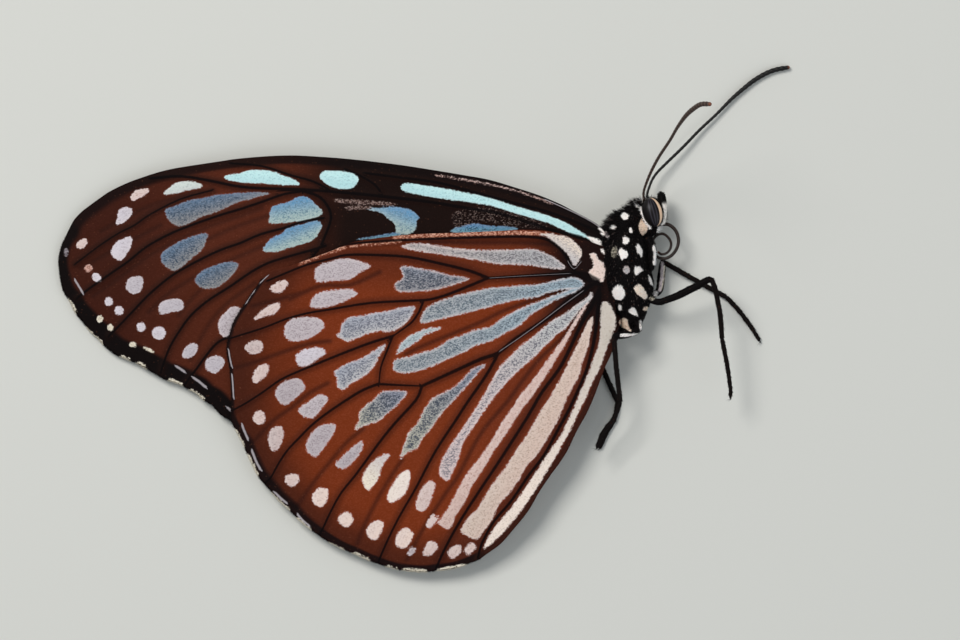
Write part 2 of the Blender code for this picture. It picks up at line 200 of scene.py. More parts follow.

# %% [markdown]
# ## The marks on the forewing
# Each mark is a closed curve and has a tint. White and pink ones are solid with pale scales. Blue ones are
# dusted: pale scales lie thinly over dark ones, thick at the rim and thin in the middle. Cyan ones are pale
# scales whose colour also holds a painted highlight, the blue sheen of the light on them.

# %% Forewing marks
FOREWING_MARKS = [
    ("pink", ((149, 189), (139, 189), (132, 193), (130, 197), (132, 200.5), (138, 198), (144.5, 194.5))),
    ("white", ((128, 207), (131.7, 209.5), (130.5, 214.5), (126.7, 219.5), (121, 223), (116.7, 225),
               (115, 222), (117, 216.7), (116.7, 213), (121, 208))),
    ("white", ((128, 236.7), (131.7, 238.3), (130.5, 245.5), (126.7, 253), (121, 260), (115.5, 259),
               (111, 254.5), (111, 249), (116.7, 241))),
    ("mint", ((202, 184.5), (194.5, 181.7), (185.5, 181), (175.5, 183), (168, 188), (163.3, 193),
               (165.6, 194.5), (175.6, 193), (189, 189.5), (199, 188))),
    ("chalk", ((133.3, 276.4), (142, 277), (142, 285.6), (139, 291.7), (132, 294), (126.7, 290.6),
               (125, 285.6), (128, 279))),
    ("chalk", ((177, 298.7), (182, 301), (183.3, 305.6), (181, 310), (171, 312), (162, 314.4),
               (158.3, 311.7), (159, 304.4), (163.3, 301), (170, 299.4))),
    ("chalk", ((192, 343), (197, 345.6), (196, 352), (191, 357), (183, 358), (182, 353), (185.6, 346.7))),
    ("chalk", ((215.6, 355.6), (223, 358), (224, 363), (220, 369.5), (215.6, 373.3), (209, 371.7),
               (205, 368), (205.6, 360.6), (210, 357))),
    ("lilac", ((231.7, 306.7), (241, 308.3), (239, 313), (234.4, 322), (232, 330), (229, 336.7),
               (223, 336.7), (219, 332), (217.8, 324.4), (220, 318), (226.7, 311))),
    ("steel", ((165, 209.4), (172, 206.7), (188, 200.6), (210, 196.4), (218, 194.4), (240, 192.8), (257, 192),
              (270.5, 193.5), (261, 195.6), (250, 199), (234.4, 203.3), (218, 211), (201, 216.7),
              (194.4, 220), (184.4, 225), (178, 226), (170, 222), (166, 215.6))),
    ("steel", ((207, 233.3), (194.4, 235.6), (180, 241), (168, 248), (161, 254.4), (161, 261), (165.6, 266.7),
              (173.3, 270.6), (181, 266.7), (192, 258), (202, 249), (205.6, 241))),
    ("steel", ((238, 264), (232, 261.7), (222, 263), (211, 266.7), (202, 271), (195, 278), (196, 283),
              (202, 288), (211, 288.7), (218, 286.7), (226.7, 280), (234.4, 272))),
    ("teal", ((303, 196), (310, 199), (315.6, 204.4), (322, 211), (320, 215.6), (308, 219.4), (294.4, 222),
              (282, 223), (269.4, 223), (269.4, 217), (271, 208), (279, 204.4), (288, 202), (295.6, 198))),
    ("teal", ((319.4, 221), (321.7, 226.7), (319, 232), (314.4, 239), (305.6, 243), (293, 246.7),
              (281, 250.6), (272, 252), (263, 250.6), (266.7, 243), (272, 238), (282, 233), (288, 228),
              (301, 224.4), (311, 221.7))),
    ("teal", ((368, 209), (379, 208), (392, 207), (405.6, 208.3), (413, 211.7), (419, 217), (416.7, 221),
              (416, 228), (412, 233), (405.6, 234.4), (396.7, 233), (395.6, 226.7), (393, 222), (388, 219),
              (382, 213), (372, 210.6))),
    ("azure", ((355, 239.5), (372, 236.5), (398, 232.5), (398, 235.5), (376, 238.5))),
    ("azure", ((451, 232), (455, 228.5), (463, 226), (474, 223.5), (490, 226), (505, 226.5), (518, 228.5),
              (505, 232), (490, 233), (470, 233))),
    # The cyan marks are pale scales whose colour also holds a painted highlight of blue sheen
    ("cyan", ((224, 176), (232, 174), (240, 173), (249, 170), (260, 170), (272, 171), (282, 174.7),
              (291, 178), (300, 184), (290, 185), (268, 184), (252, 183), (238, 181.7), (226.7, 179.4))),
    ("cyan", ((319.4, 176.7), (324, 171), (334.4, 170.6), (347, 171.7), (354.4, 174), (358.3, 178),
              (357, 183), (352, 188), (347, 189), (339, 188.7), (330, 186), (322, 180))),
    ("cyan", ((401, 185.6), (408, 183), (425.6, 185.6), (441, 188), (463, 192), (490, 198), (514.4, 205.6),
              (531, 210.6), (548, 215.6), (564.4, 222), (581, 232), (590, 239), (585.6, 238), (575.6, 235.5),
              (564.4, 230.6), (548, 223), (531, 218), (514.4, 213), (492, 206), (474.4, 203), (452, 200),
              (430, 196.7), (410, 193), (402, 190))),
    ("dusty", ((334, 199), (350, 199.5), (370, 200.5), (394, 203), (394, 205.5), (370, 204.5), (350, 203.5),
               (336, 202))),
    ("dusty", ((345, 207), (357, 206), (370, 206.5), (370, 209), (357, 209.5), (348, 210))),
    ("sparse", ((452, 214), (466, 209), (482, 208), (505, 212), (530, 219), (548, 227), (530, 228), (505, 225),
                (480, 222), (456, 227))),
    ("snow", ((598.5, 228), (602, 229), (605.5, 230.5), (608.5, 233.5), (609.5, 238.5), (606.5, 237),
              (603.5, 236), (600.5, 233.5))),
    ("snow", ((586, 236.5), (592, 237.5), (597, 239), (602, 242), (601.5, 246), (599.5, 247.3), (595.5, 244.5),
              (591, 240.5))),
]
FOREWING_DOTS = [
    # x, y, half width, half height and turn in degrees
    ("pink", 81, 243.6, 6.4, 4.0, 40), ("faded", 87.4, 268.2, 4.0, 3.9, 0), ("white", 95.8, 277.6, 5.3, 4.1, -45),
    ("white", 108, 301.5, 4.2, 4.6, 0), ("white", 118.3, 310.5, 4.6, 4.8, 0), ("white", 140.5, 327, 4.6, 4.8, 0),
    ("white", 158.3, 333, 7.0, 6.9, 0), ("bone", 99, 319, 3.4, 3.7, 0), ("bone", 109.5, 327.5, 3.3, 3.6, 0),
    # The grey dot near the apex is a painted highlight: a glint of light on the dark border
    ("bone", 132, 344.5, 3.9, 3.0, 0), ("grey", 65, 252, 2.0, 4.4, 0),
]
# A stroke is a tint, a half width and a line
FOREWING_STROKES = [
    ("bone", 1.4, ((144, 347.5), (152, 352))), ("bone", 1.0, ((69, 300.5), (75, 311))),
    ("bone", 1.0, ((86, 328.5), (91, 333.5))), ("bone", 1.1, ((94, 336.5), (101, 342.5))),
    ("bone", 1.0, ((121, 356), (128, 359))), ("bone", 1.0, ((138, 362.5), (145, 366.5))),
    ("bone", 1.1, ((169, 379), (181, 384))), ("bone", 1.1, ((191, 389.5), (203, 398.5))),
    ("frayed", 0.95, ((436, 175), (450, 177.3), (475, 181.5), (505, 187.8), (530, 195), (552, 203.6))),
]
print("forewing marks:", len(FOREWING_MARKS) + len(FOREWING_DOTS))

# %% [markdown]
# ## The marks on the hindwing
# The hindwing carries more marks: long stripes between the veins near the body, dusted blue patches in
# the middle and two rows of spots near the margin.

# %% Hindwing marks
HINDWING_MARKS = [
    ("shell", ((541, 232), (553, 234.4), (567, 237), (574.4, 242), (581, 250), (581, 256), (576.7, 264.4),
              (573, 265), (569, 256.7), (564.4, 251), (559, 246.7), (552, 241), (546.7, 236.7), (537, 235))),
    ("frost", ((401, 246.7), (408, 244), (419, 243), (435.6, 245.6), (452, 248), (474, 250), (503, 250),
               (520, 249.4), (533, 249), (542, 251.7), (553, 256.7), (561, 263), (565.6, 268), (559, 269),
               (548, 268), (531, 265.6), (514, 264.4), (498, 264), (481, 261), (470, 259), (458, 257),
               (441, 254.4), (424, 252), (410, 249.4))),
    ("slate", ((400, 268), (405.6, 266), (417, 268), (432, 270.6), (450, 275), (469, 278.7), (459, 283),
              (442, 288), (427, 291), (409, 292), (398, 291), (394.4, 285.6), (397, 282), (403, 278),
              (402, 272))),
    ("sky", ((420.6, 323), (420.6, 320), (423, 313), (428, 306.7), (437, 302), (448, 298), (461, 294.4),
             (475.6, 291), (490, 288), (514, 286), (537, 284.4), (553, 281), (567, 278), (573, 277),
             (580, 279.5), (584, 284), (581, 288.4), (572, 289), (564, 289.3), (548, 292.7), (537, 297),
             (520, 299.4), (503, 303), (490, 306.7), (470, 312), (453, 316), (437, 320), (425.6, 323))),
    ("sky", ((393, 365.6), (395.6, 359.4), (407, 357), (420, 353), (437, 348), (448, 340), (461, 335.6),
             (475.6, 330), (490, 326.7), (503, 317.8), (520, 309), (537, 302), (554, 295.6), (565.5, 291),
             (572, 288.2), (581.5, 287.4), (575, 292.5), (564, 296.6), (553, 301.5), (542, 308), (531, 314.4),
             (520, 325),
             (503, 334.4), (492, 340.6), (475.6, 345.6), (464, 352), (448, 359), (431, 366.7), (418, 371),
             (403, 373), (394.4, 370.6))),
    ("haze", ((396.7, 355), (398, 349), (402, 342), (409, 336), (418, 332), (429, 328), (441, 327.5),
               (437, 330.6), (425.6, 334.4), (418, 341), (409, 346.7), (402, 351))),
    ("blue", ((415, 306.7), (403, 307), (390, 310.6), (374, 313), (361, 316), (350, 317), (344.4, 321),
              (341, 326.7), (340, 332), (336.7, 335), (341, 338), (346.7, 341.7), (354.4, 339),
              (365.6, 334.4), (378, 331), (390, 331.7), (401, 326.7), (409, 319.4), (414, 311))),
    ("blue", ((385, 344), (385.6, 347), (379, 356.7), (372, 369), (363, 376.7), (352, 383), (343, 390),
              (338, 388), (336.7, 383), (337, 379), (334.4, 373), (338, 369), (348, 363), (360, 359),
              (372, 352), (381, 346))),
    ("lilac", ((371, 266), (364.4, 263), (352, 259.4), (341, 258.7), (330, 261.7), (321, 264.4), (315.6, 269),
               (315, 275.6), (317, 282), (330, 281), (345.6, 280), (352, 278), (361, 271.7))),
    ("lilac", ((357, 294.4), (354.4, 290.6), (348, 289), (330, 290.6), (319, 293), (312, 299), (311, 306.7),
               (321, 307.6), (332, 306), (345.6, 300.6))),
    ("pink", ((285.6, 280), (287.6, 284.4), (283, 291), (276.7, 293), (272, 291), (270, 288), (274.4, 284),
              (280, 281))),
    ("pink", ((279.4, 303), (279, 309), (273, 314.4), (263, 317), (256, 320), (254.4, 318), (261, 311),
              (269, 305.6))),
    ("lilac", ((305.6, 316.7), (316.7, 318), (322, 320.6), (324.4, 325.6), (321, 331), (310, 338), (299, 341),
               (290, 341), (285.6, 336.7), (284.4, 330), (286.7, 323), (292, 319))),
    ("mauve", ((252, 341), (261, 341), (263, 347), (260, 352), (252, 354), (246.7, 351), (245, 346))),
    ("white", ((313, 347.6), (321, 348), (326, 353), (319, 358), (310, 364.4), (301, 366.7), (296.7, 362),
               (295.6, 356.7), (301, 351))),
    ("pink", ((266.7, 364), (269, 368), (266.7, 374.4), (261, 380), (255.6, 383), (252.6, 380.6), (254, 372),
              (259, 366))),
    ("ash", ((296.7, 378.7), (302, 381), (305, 388), (301, 393), (292, 401), (284.4, 404.7), (279, 401.7),
               (275, 393), (280, 384.4), (288, 380))),
    ("lilac", ((319, 395), (325.6, 396), (327.6, 399.4), (323, 407), (315.6, 416), (310, 418.7), (303, 416),
               (298, 410), (308, 402))),
    ("mauve", ((280.6, 426.4), (283.6, 433), (282, 441), (278, 449), (273, 451.4), (269.4, 445.6), (268, 438),
              (271, 430), (275.6, 427))),
    ("ash", ((330.6, 423.6), (335.6, 425.6), (334.4, 431), (328, 442), (319, 454), (314, 457), (306.7, 451),
               (306, 446.7), (308, 439), (314.4, 430), (321, 425.6))),
    ("pink", ((286.7, 475.6), (296.7, 474), (299, 479.4), (295.6, 485), (292, 487), (286.7, 484.4),
              (285, 479.4))),
    ("blush", ((321, 488), (326.7, 489.4), (328, 494.4), (325.6, 503), (320, 507.4), (314.4, 504),
              (311.7, 497), (315, 491))),
    ("ash", ((361.7, 441), (363, 444.4), (361, 451), (353, 462), (343, 469), (336.7, 466), (336, 463),
               (341, 458), (350, 449))),
    ("blush", ((348, 512), (352, 516), (353, 521), (348, 527), (342, 525.6), (338, 521), (339.4, 515.6),
              (343, 513))),
    ("dawn", ((388, 453.6), (389, 456.7), (382, 466.7), (378, 479), (372, 486.7), (368, 491), (363, 483),
              (362, 479.4), (364.4, 472), (372, 462), (381, 455.6))),
    ("blush", ((379.4, 520), (383, 523), (383, 526.7), (380, 534.4), (376, 540), (370, 538.7), (366, 532),
              (370, 524.4), (374.4, 521.7))),
    ("tipped", ((373, 400), (381, 392), (390, 390.6), (399, 390.6), (406.7, 392), (402, 400), (395.6, 406.7),
              (388, 413), (379, 420.6), (369, 424), (361, 427), (356.7, 429.4), (355, 428), (359, 420),
              (359.4, 412), (365.6, 405.6))),
    ("tipped", ((485.6, 364.4), (479, 365.6), (470, 371), (461, 381), (450, 389.4), (437, 395.6), (430, 401),
              (422, 413), (418, 422), (409, 432), (405.6, 441), (402, 450), (400, 459.4), (405.6, 454.4),
              (411, 451), (418, 448), (422, 439), (429, 431), (435.6, 422), (442, 413), (449, 405.6),
              (455, 399), (464, 389), (472, 380), (479, 372), (484.4, 366.7))),
    ("milk", ((408, 470), (410, 474.4), (409.4, 482), (405.6, 493), (400, 498), (391, 503), (387, 498),
              (388, 493), (394.4, 482), (401, 473))),
    ("pink", ((433, 481), (435, 486.7), (432, 496.7), (428, 506.7), (422, 511.7), (416.7, 509), (416, 504),
              (418, 495.6), (423, 486.7), (428, 481.7))),
    ("blush", ((405, 528), (411, 531), (413, 535.6), (410, 543), (404.4, 548.6), (396.7, 546), (395, 541),
              (399, 532))),
    ("pink", ((433, 514), (435.6, 518), (438, 515.6), (438, 518), (433, 525.6), (429, 528.7), (426.4, 525.6),
              (428, 520.6))),
    ("pink", ((431, 541), (436, 543), (438, 548), (434.4, 551), (431, 555.6), (423, 555), (424.4, 549),
              (427, 543))),
    ("pink", ((460, 545), (461, 550.6), (456.7, 556), (453, 559), (448, 555.6), (448, 552), (452, 547))),
    ("pink", ((470.6, 542.6), (475, 544.4), (476, 548), (471, 553), (468, 556), (465, 552), (465.6, 548))),
    ("drift", ((439.4, 471), (440, 467), (443, 458), (451, 444.4), (460, 432), (468, 420), (479, 403),
               (488, 388), (494, 377), (501, 365.6), (510, 356.7), (520, 346.5), (531, 338), (541, 330),
               (550, 322), (561, 315.6), (570, 310), (577, 304.4), (585.6, 299), (591, 292.5), (592.5, 296.5),
               (588, 303), (580, 310), (572, 320), (565.6, 328), (557, 334.4), (548, 343), (541, 350),
               (532, 359), (523, 366.7), (512, 376.7), (503, 386.7), (492, 400), (481, 415.6), (470, 432),
               (463, 443), (458, 460), (451, 475.6), (447, 481), (440, 475.6))),
    ("blush", ((589.8, 254.3), (595.5, 253.6), (597.5, 258.5), (601, 261.5), (604.5, 264), (605.7, 269),
               (604.7, 275), (602.7, 282), (597, 280.5), (592, 278.3), (589, 273), (590, 270), (593, 267.5),
               (592.8, 263), (591, 258.5))),
    ("snow", ((600.5, 249), (603.2, 249.5), (604.6, 252), (604.2, 254.5), (601.8, 252.5))),
    ("rose", ((588.4, 301.5), (581, 309.6), (575.8, 318.8), (569, 329), (561, 342), (550, 356.7), (541, 369),
              (532, 381), (520, 395.6), (514, 405.6), (503, 421), (494, 436.7), (484, 452), (478, 460),
              (467, 474), (455.6, 494), (449, 506.7), (440, 520), (439.4, 524.4), (448, 529), (453, 523),
              (455.6, 515.6), (465.6, 500), (473, 484), (482, 471), (493, 452), (502, 439), (509, 429),
              (519, 413), (529, 400), (539, 385.6), (550, 369), (558, 355.6), (565.6, 344), (572, 331),
              (579, 319.5))),
    ("cream", ((592, 317), (588, 322), (582, 334), (575.6, 348), (570, 359), (564, 371), (558, 383),
               (550, 397), (541, 410), (534, 423), (525.6, 437), (517, 449), (505.6, 467), (495.6, 480),
               (488, 491), (478, 508), (467, 519), (461.7, 528), (461, 532), (467, 535.6), (476.7, 539.4),
               (482, 533), (492, 520), (499, 504), (509, 493), (518, 481), (525.6, 467), (537, 454),
               (546, 440), (556, 423), (562, 409), (570, 391), (579, 375.6), (582, 362), (588, 347),
               (590, 335.6), (593, 320))),
    ("ivory", ((601, 305), (600, 327), (599, 342), (593, 359), (588, 373), (581, 389), (575.6, 403),
               (568, 420), (559, 438), (549, 451), (537, 470), (525.6, 487), (511, 508), (497, 524),
               (487, 540), (483.5, 549), (489, 545.6), (500, 535.6), (512, 522), (523, 508), (533, 493),
               (543, 477), (555.6, 455.6), (564, 441), (572, 426), (578, 412), (585.6, 398), (591, 384),
               (598, 371), (603, 358), (608, 344), (613, 332), (615.6, 324), (615, 317), (612, 309),
               (606.7, 302))),
]
HINDWING_DOTS = [
    ("pink", 259, 417.6, 6.3, 7, 0), ("ash", 411.5, 551.5, 5.4, 2.9, 48),
]
HINDWING_STROKES = [
    ("bone", 1.3, ((235, 431), (243, 445))), ("bone", 1.3, ((248, 456), (257, 474))),
    ("bone", 1.3, ((271.5, 495), (288, 509.5))), ("bone", 1.3, ((298.5, 519), (309.5, 529))),
    ("bone", 1.0, ((330, 544), (342, 549.5))), ("bone", 1.3, ((354, 553), (368, 560))),
    ("bone", 1.0, ((388, 566.5), (396, 568.5))), ("bone", 1.0, ((404, 569), (425, 571))),
    ("bone", 1.0, ((438, 570), (464, 565))),
    ("peach", 1.5, ((300, 264), (322, 254.5), (345, 247.5))),
    ("peach", 1.0, ((350, 246), (375, 244.3), (400, 241.5))),
    ("peach", 1.9, ((395, 237.5), (430, 236), (480, 233.8), (520, 233), (545, 234))),
]
# Bright lines of reflected light on the stoutest veins and along the edge that lies over the forewing
HINDWING_SHINE = [
    (0.15, ((568, 262), (574, 269), (581, 262))), (0.2, ((583, 291), (564, 304.5), (531, 329.5), (500, 351))),
    (0.1, ((570, 273.5), (526, 275.8), (490, 278))), (0.75, ((254.5, 290.5), (250, 296), (246, 303))),
    (0.45, ((268, 275.5), (260, 283))), (0.7, ((228.5, 350), (229.7, 358), (231.7, 367))),
    (0.75, ((231.8, 375), (232.7, 386), (233.3, 398))), (1.1, ((241.8, 425), (244.4, 432), (247.6, 439))),
    (1.2, ((251.8, 451), (255.6, 461), (260.3, 470))), (1.1, ((274.5, 492.5), (280, 498), (286, 503))),
    (1.0, ((297.5, 515), (303, 521), (309, 526))),
]
FOREWING_SHINE = [
    (0.4, ((545, 199.5), (570, 210.6), (592, 222), (604, 231))), (1.0, ((74, 280), (79, 288), (82, 293))),
    (1.2, ((175.6, 366.5), (180, 369), (184, 372))), (1.2, ((192.5, 377.5), (199, 382), (205.5, 387.5))),
    (1.2, ((227, 407.5), (232, 412), (238.5, 416))),
]
print("hindwing marks:", len(HINDWING_MARKS) + len(HINDWING_DOTS))

# %% [markdown]
# ## Veins, folds and the wings' edges
# Veins are the tubes that stiffen a wing. Each is drawn as a line with a half width in grid squares. Between
# two veins the membrane has a soft fold, which is a shallow trough in the surface and shows as a darker line
# of painted shade in the ground colour; a band of the same painted shade lies beside each vein.

# %% Veins and folds of both wings
FOREWING_VEINS = [
    (1.5, ((600, 232), (575, 222), (548, 212), (514, 203), (480, 194), (440, 183), (400, 177.5), (365, 173))),
    (1.7, ((582, 237.5), (564, 233), (548, 229), (503, 214.5), (463, 207.5), (430, 202), (397, 198),
           (350, 193), (301, 189.4), (257, 188), (234, 185.6), (212, 181), (180, 176), (150, 178))),
    (1.2, ((380, 191), (374, 184), (360, 175.6), (345, 169))),
    (1.2, ((328, 189), (312, 181), (290, 175), (262, 166), (230, 163))),
    (1.3, ((303, 191), (284, 194), (261, 202), (240, 209), (218, 215.6), (183, 228), (161, 238), (144, 248),
           (128, 261), (112, 272), (89, 288), (76, 298))),
    (0.9, ((212, 190), (180, 199), (150, 214), (134, 225), (118, 233), (98, 246), (74, 264))),
    (1.3, ((323, 218), (301, 222), (284, 228), (261, 234), (240, 243), (220, 250), (201, 259), (184, 268),
           (168, 278), (150, 293), (140, 303), (122, 322), (108, 336))),
    (1.3, ((325, 246), (312, 250), (290, 256), (268, 263), (251, 272), (229, 287), (207, 301), (190, 316),
           (179, 331), (171, 344), (166, 355), (160, 372))),
    (1.3, ((233, 335), (218, 342), (207, 354), (196, 369), (189, 378), (184, 385))),
    (1.5, ((303, 191), (318, 196), (327, 205), (331, 218), (325, 236), (318, 250), (300, 270))),
]
HINDWING_VEINS = [
    (1.8, ((600, 285), (586, 279), (573, 269), (565.6, 255.6), (559, 248), (550, 241), (541, 238), (526, 236.7),
           (503, 236.7), (452, 238), (419, 239.4), (386, 241), (347, 244.4), (325, 251), (300, 261))),
    (2.4, ((596, 280), (585, 274.5), (570, 273.5), (526, 276), (488, 278.2))),
    (1.6, ((488, 278), (470, 271), (442, 264), (408, 257), (374, 255), (347, 255), (330, 259), (308, 264.4),
           (286, 273), (267, 281))),
    (1.5, ((488, 278), (470, 285.6), (448, 294.4), (430, 299.4), (414, 300.6), (370, 303), (330, 309.4),
           (308, 313), (286, 319), (263, 328), (231, 338))),
    (1.2, ((423, 302), (419, 312), (412, 322), (403, 329), (393, 336))),
    (1.4, ((393, 336), (370, 343), (341, 354), (319, 363), (297, 372), (280, 380), (263, 392), (246, 403),
           (233, 410))),
    (1.2, ((392, 338), (387, 351), (381, 367), (379, 383.5))),
    (1.4, ((378, 384), (363, 390), (348, 399), (330, 411), (313, 424), (297, 440), (286, 452), (277, 466),
           (271, 477), (264, 484))),
    (1.3, ((379, 384), (398, 385), (422, 386))),
    (1.5, ((422, 386), (416, 400), (396, 422), (382, 439), (368, 458), (354, 477), (341, 493), (330, 513),
           (323, 528), (319, 535))),
    (2.7, ((597, 281), (587, 288), (575.6, 295.6), (564, 304), (548, 317.8), (531, 329), (514, 340), (498, 353),
           (481, 359), (459, 369), (437, 379), (422, 386))),
    (1.6, ((498, 354), (490, 369), (481, 383), (467, 403), (456, 420), (440, 444), (429, 463), (416, 488),
           (402, 512), (392, 531), (382, 553), (378, 563))),
    (2.0, ((599, 290), (591, 307), (581, 324), (570, 348), (559, 369), (542, 392), (528, 416), (509, 446),
           (494, 469), (478, 493), (462, 518), (451, 537), (441, 557), (436, 569))),
    (1.9, ((600, 294), (598, 307), (595.6, 329), (592, 349), (586, 371), (577, 392), (568, 411), (557, 431),
           (544, 455), (528, 476), (511, 501), (494, 521), (484, 539), (480, 549), (478, 558))),
]
HINDWING_FOLDS = [
    ((308, 291), (280, 299), (252, 306)), ((330, 341), (308, 344), (280, 353), (258, 361), (232, 369)),
    ((328, 383), (308, 394), (291, 408), (274, 420), (254, 441)),
    ((363, 429), (347, 442), (330, 462), (317, 478), (306, 493), (297, 507)),
    ((402, 460), (390, 478), (377, 500), (366, 522), (357, 544)),
    ((577, 316), (566, 334), (552, 347), (537, 362), (520, 384), (507, 402), (484, 429), (471, 451),
     (458, 476), (444, 496), (422, 531), (407, 560)),
    ((558, 290), (530, 301), (503, 311), (481, 322), (459, 331), (437, 340), (418, 348), (406, 354)),
    ((380, 272), (350, 285), (320, 286), (290, 299)),
    ((560, 245), (520, 243), (470, 243), (430, 242)),
]
FOREWING_FOLDS = [
    ((280, 212), (240, 225), (205, 240)), ((265, 245), (235, 258), (200, 274), (170, 292), (148, 312)),
    ((230, 268), (212, 280), (192, 298), (178, 316)), ((160, 225), (135, 238), (105, 254), (80, 268)),
    ((200, 192), (165, 200), (135, 212), (100, 231)), ((255, 283), (225, 305), (205, 330), (190, 360)),
    ((262, 208), (240, 216), (218, 223), (190, 234), (165, 246), (146, 257), (130, 269), (112, 282), (92, 296)),
]
FOREWING_FRONT = ((612, 243), (600, 227), (590, 220), (575, 212), (560, 204), (541, 196), (520, 189),
                  (490, 180), (463, 175), (430, 169.5), (397, 164.5), (350, 159), (310, 156), (290, 155.3),
                  (268, 156), (240, 158.3), (210, 162.5), (172, 168.5), (150, 174.4), (128, 182),
                  (110, 190.5), (100, 197), (89, 205), (80, 212), (72, 221), (68, 231))
FOREWING_OUTER = ((68, 231), (61.2, 244.5), (58, 258), (58.7, 272), (62.2, 290), (69, 301), (73, 310), (78, 317),
                  (83, 323), (89, 331), (97, 338), (103, 345), (109, 350), (115, 354.5), (121, 357),
                  (128, 360), (134, 362), (140, 365.5), (148, 370), (158, 375.5), (165, 379.5),
                  (172, 381.5), (180, 384.5), (189, 389.5), (196, 393), (203, 400), (212, 405),
                  (220, 414), (231, 421), (245, 432))
FOREWING_REAR = ((614, 258), (560, 275), (480, 310), (400, 352), (320, 396), (270, 425), (245, 432))
HINDWING_FRONT = ((610, 249), (590, 242), (577, 239), (560, 234), (545, 231), (520, 230), (490, 231.5),
                  (452, 233), (412, 234.5), (380, 238), (350, 243), (334, 250), (304, 261), (290, 266),
                  (274, 269.5), (262, 279))
HINDWING_OUTER = ((262, 279), (247, 301), (234.5, 320), (228.5, 338), (226.8, 349), (228.2, 360), (230, 371),
                  (231.4, 393), (231.2, 405), (231, 419), (235, 429), (243, 444), (248, 456), (258, 476),
                  (268, 488), (279, 501), (290, 511), (301, 522), (312, 530.6), (325.6, 540), (340, 548),
                  (352, 553), (368, 560), (385, 566), (400, 570), (422, 572), (437, 570.6), (456, 568),
                  (472, 562), (480, 559))
HINDWING_REAR = ((614, 298), (616, 318), (615.6, 333), (612, 351), (604, 369), (595.6, 392), (587, 412),
                 (576, 432), (568, 449), (560, 462), (550, 475.6), (539, 492), (528, 511), (512, 531),
                 (501, 543.5), (490.5, 551.5), (480, 559))
print("veins:", len(FOREWING_VEINS), "and", len(HINDWING_VEINS))

# %% [markdown]
# ## One wing as a surface
# A wing has four edges: front, outer, rear and a short root. A patch fills four edges with a grid: blend
# front into rear, blend root into outer, add the two and take away the blend of the corners. The
# grid's points get their heights from the way the wings lie, then small ridges along the veins and shallow
# troughs between them. A Solidify modifier gives the sheet its thickness.

# %% Meshes from arrays


def mesh_object(name, vertices, faces, material=None):
    """A mesh object at the origin from arrays of points in metres and of faces."""
    mesh = bpy.data.meshes.new(name)
    mesh.from_pydata(np.asarray(vertices).tolist(), [], faces if isinstance(faces, list) else faces.tolist())
    mesh.polygons.foreach_set("use_smooth", np.ones(len(mesh.polygons), bool))
    mesh.update()
    made = bpy.data.objects.new(name, mesh)
    bpy.context.scene.collection.objects.link(made)
    if material is not None:
        mesh.materials.append(material)
    return made


def put_value(made, name, values):
    """One number for each vertex, as a named attribute that a material can read."""
    attribute = made.data.attributes.new(name, "FLOAT", "POINT")
    attribute.data.foreach_set("value", np.asarray(values, np.float32).ravel())


def put_colour(made, name, colours):
    """One linear colour for each vertex, as a named attribute."""
    rgba = np.ones((len(colours), 4), np.float32)
    rgba[:, :3] = colours
    attribute = made.data.attributes.new(name, "FLOAT_COLOR", "POINT")
    attribute.data.foreach_set("color", rgba.ravel())


def put_scales(made, marks, lines, ground):
    """All that the scale material reads: the marks' and the lines' numbers, then the three colours."""
    depth, over, under, dust, rim = marks
    names = ("mark", "dust", "rim", "vein", "across", "shine", "shine_across")
    for name, values in zip(names, (depth, dust, rim, *lines)):
        put_value(made, name, values)
    for name, colours in (("over", over), ("under", under), ("ground", ground)):
        put_colour(made, name, colours)


def own(piece, slot_name, *nodes):
    """The piece rides on the specimen and stands for its CAD nodes; slot_name is not used."""
    if nodes:
        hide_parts(*nodes)
    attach(piece, "root")
    return piece


def grid_faces(rows, columns):
    """Quads between neighbouring points of a grid that is stored row by row."""
    index = np.arange(rows * columns).reshape(rows, columns)
    return np.stack([index[:-1, :-1], index[:-1, 1:], index[1:, 1:], index[1:, :-1]], axis=-1).reshape(-1, 4)


def four_edge_patch(front, outer, rear, rows, columns):
    """Patch = (front to rear) + (root to outer) - (corners), each a straight blend."""
    long_a, long_b = even(smooth(front), rows), even(smooth(rear), rows)
    short_a = even(np.array([front[0], rear[0]], float), columns)
    short_b = even(smooth(outer), columns)
    u = np.linspace(0, 1, rows)[:, None, None]
    v = np.linspace(0, 1, columns)[None, :, None]
    across = (1 - v) * long_a[:, None] + v * long_b[:, None]
    along = (1 - u) * short_a[None] + u * short_b[None]
    corners = (1 - u) * ((1 - v) * long_a[0] + v * long_b[0]) + u * ((1 - v) * long_a[-1] + v * long_b[-1])
    return across + along - corners


def ramp(values, start, finish):
    """0 before start and 1 after finish, with an S-shaped slope between (3t squared minus 2t cubed)."""
    t = np.clip((values - start) / (finish - start), 0, 1)
    return t * t * (3 - 2 * t)


# %% [markdown]
# ## Tints
# The photo's colours are given as ordinary screen values and turned into the linear light that Blender
# mixes. A tint has an upper and a lower colour, because the blue scales change with the angle of the light,
# the colour of the dark scales under them, and how thin the dusting is.

# %% The tints of the marks


def linear(red, green, blue):
    """Screen colour to linear light: ((c + 0.055) / 1.055) to the power 2.4, or c / 12.92 when dark."""
    c = np.array((red, green, blue), float) / 255
    return np.where(c <= 0.04045, c / 12.92, ((c + 0.055) / 1.055) ** 2.4)


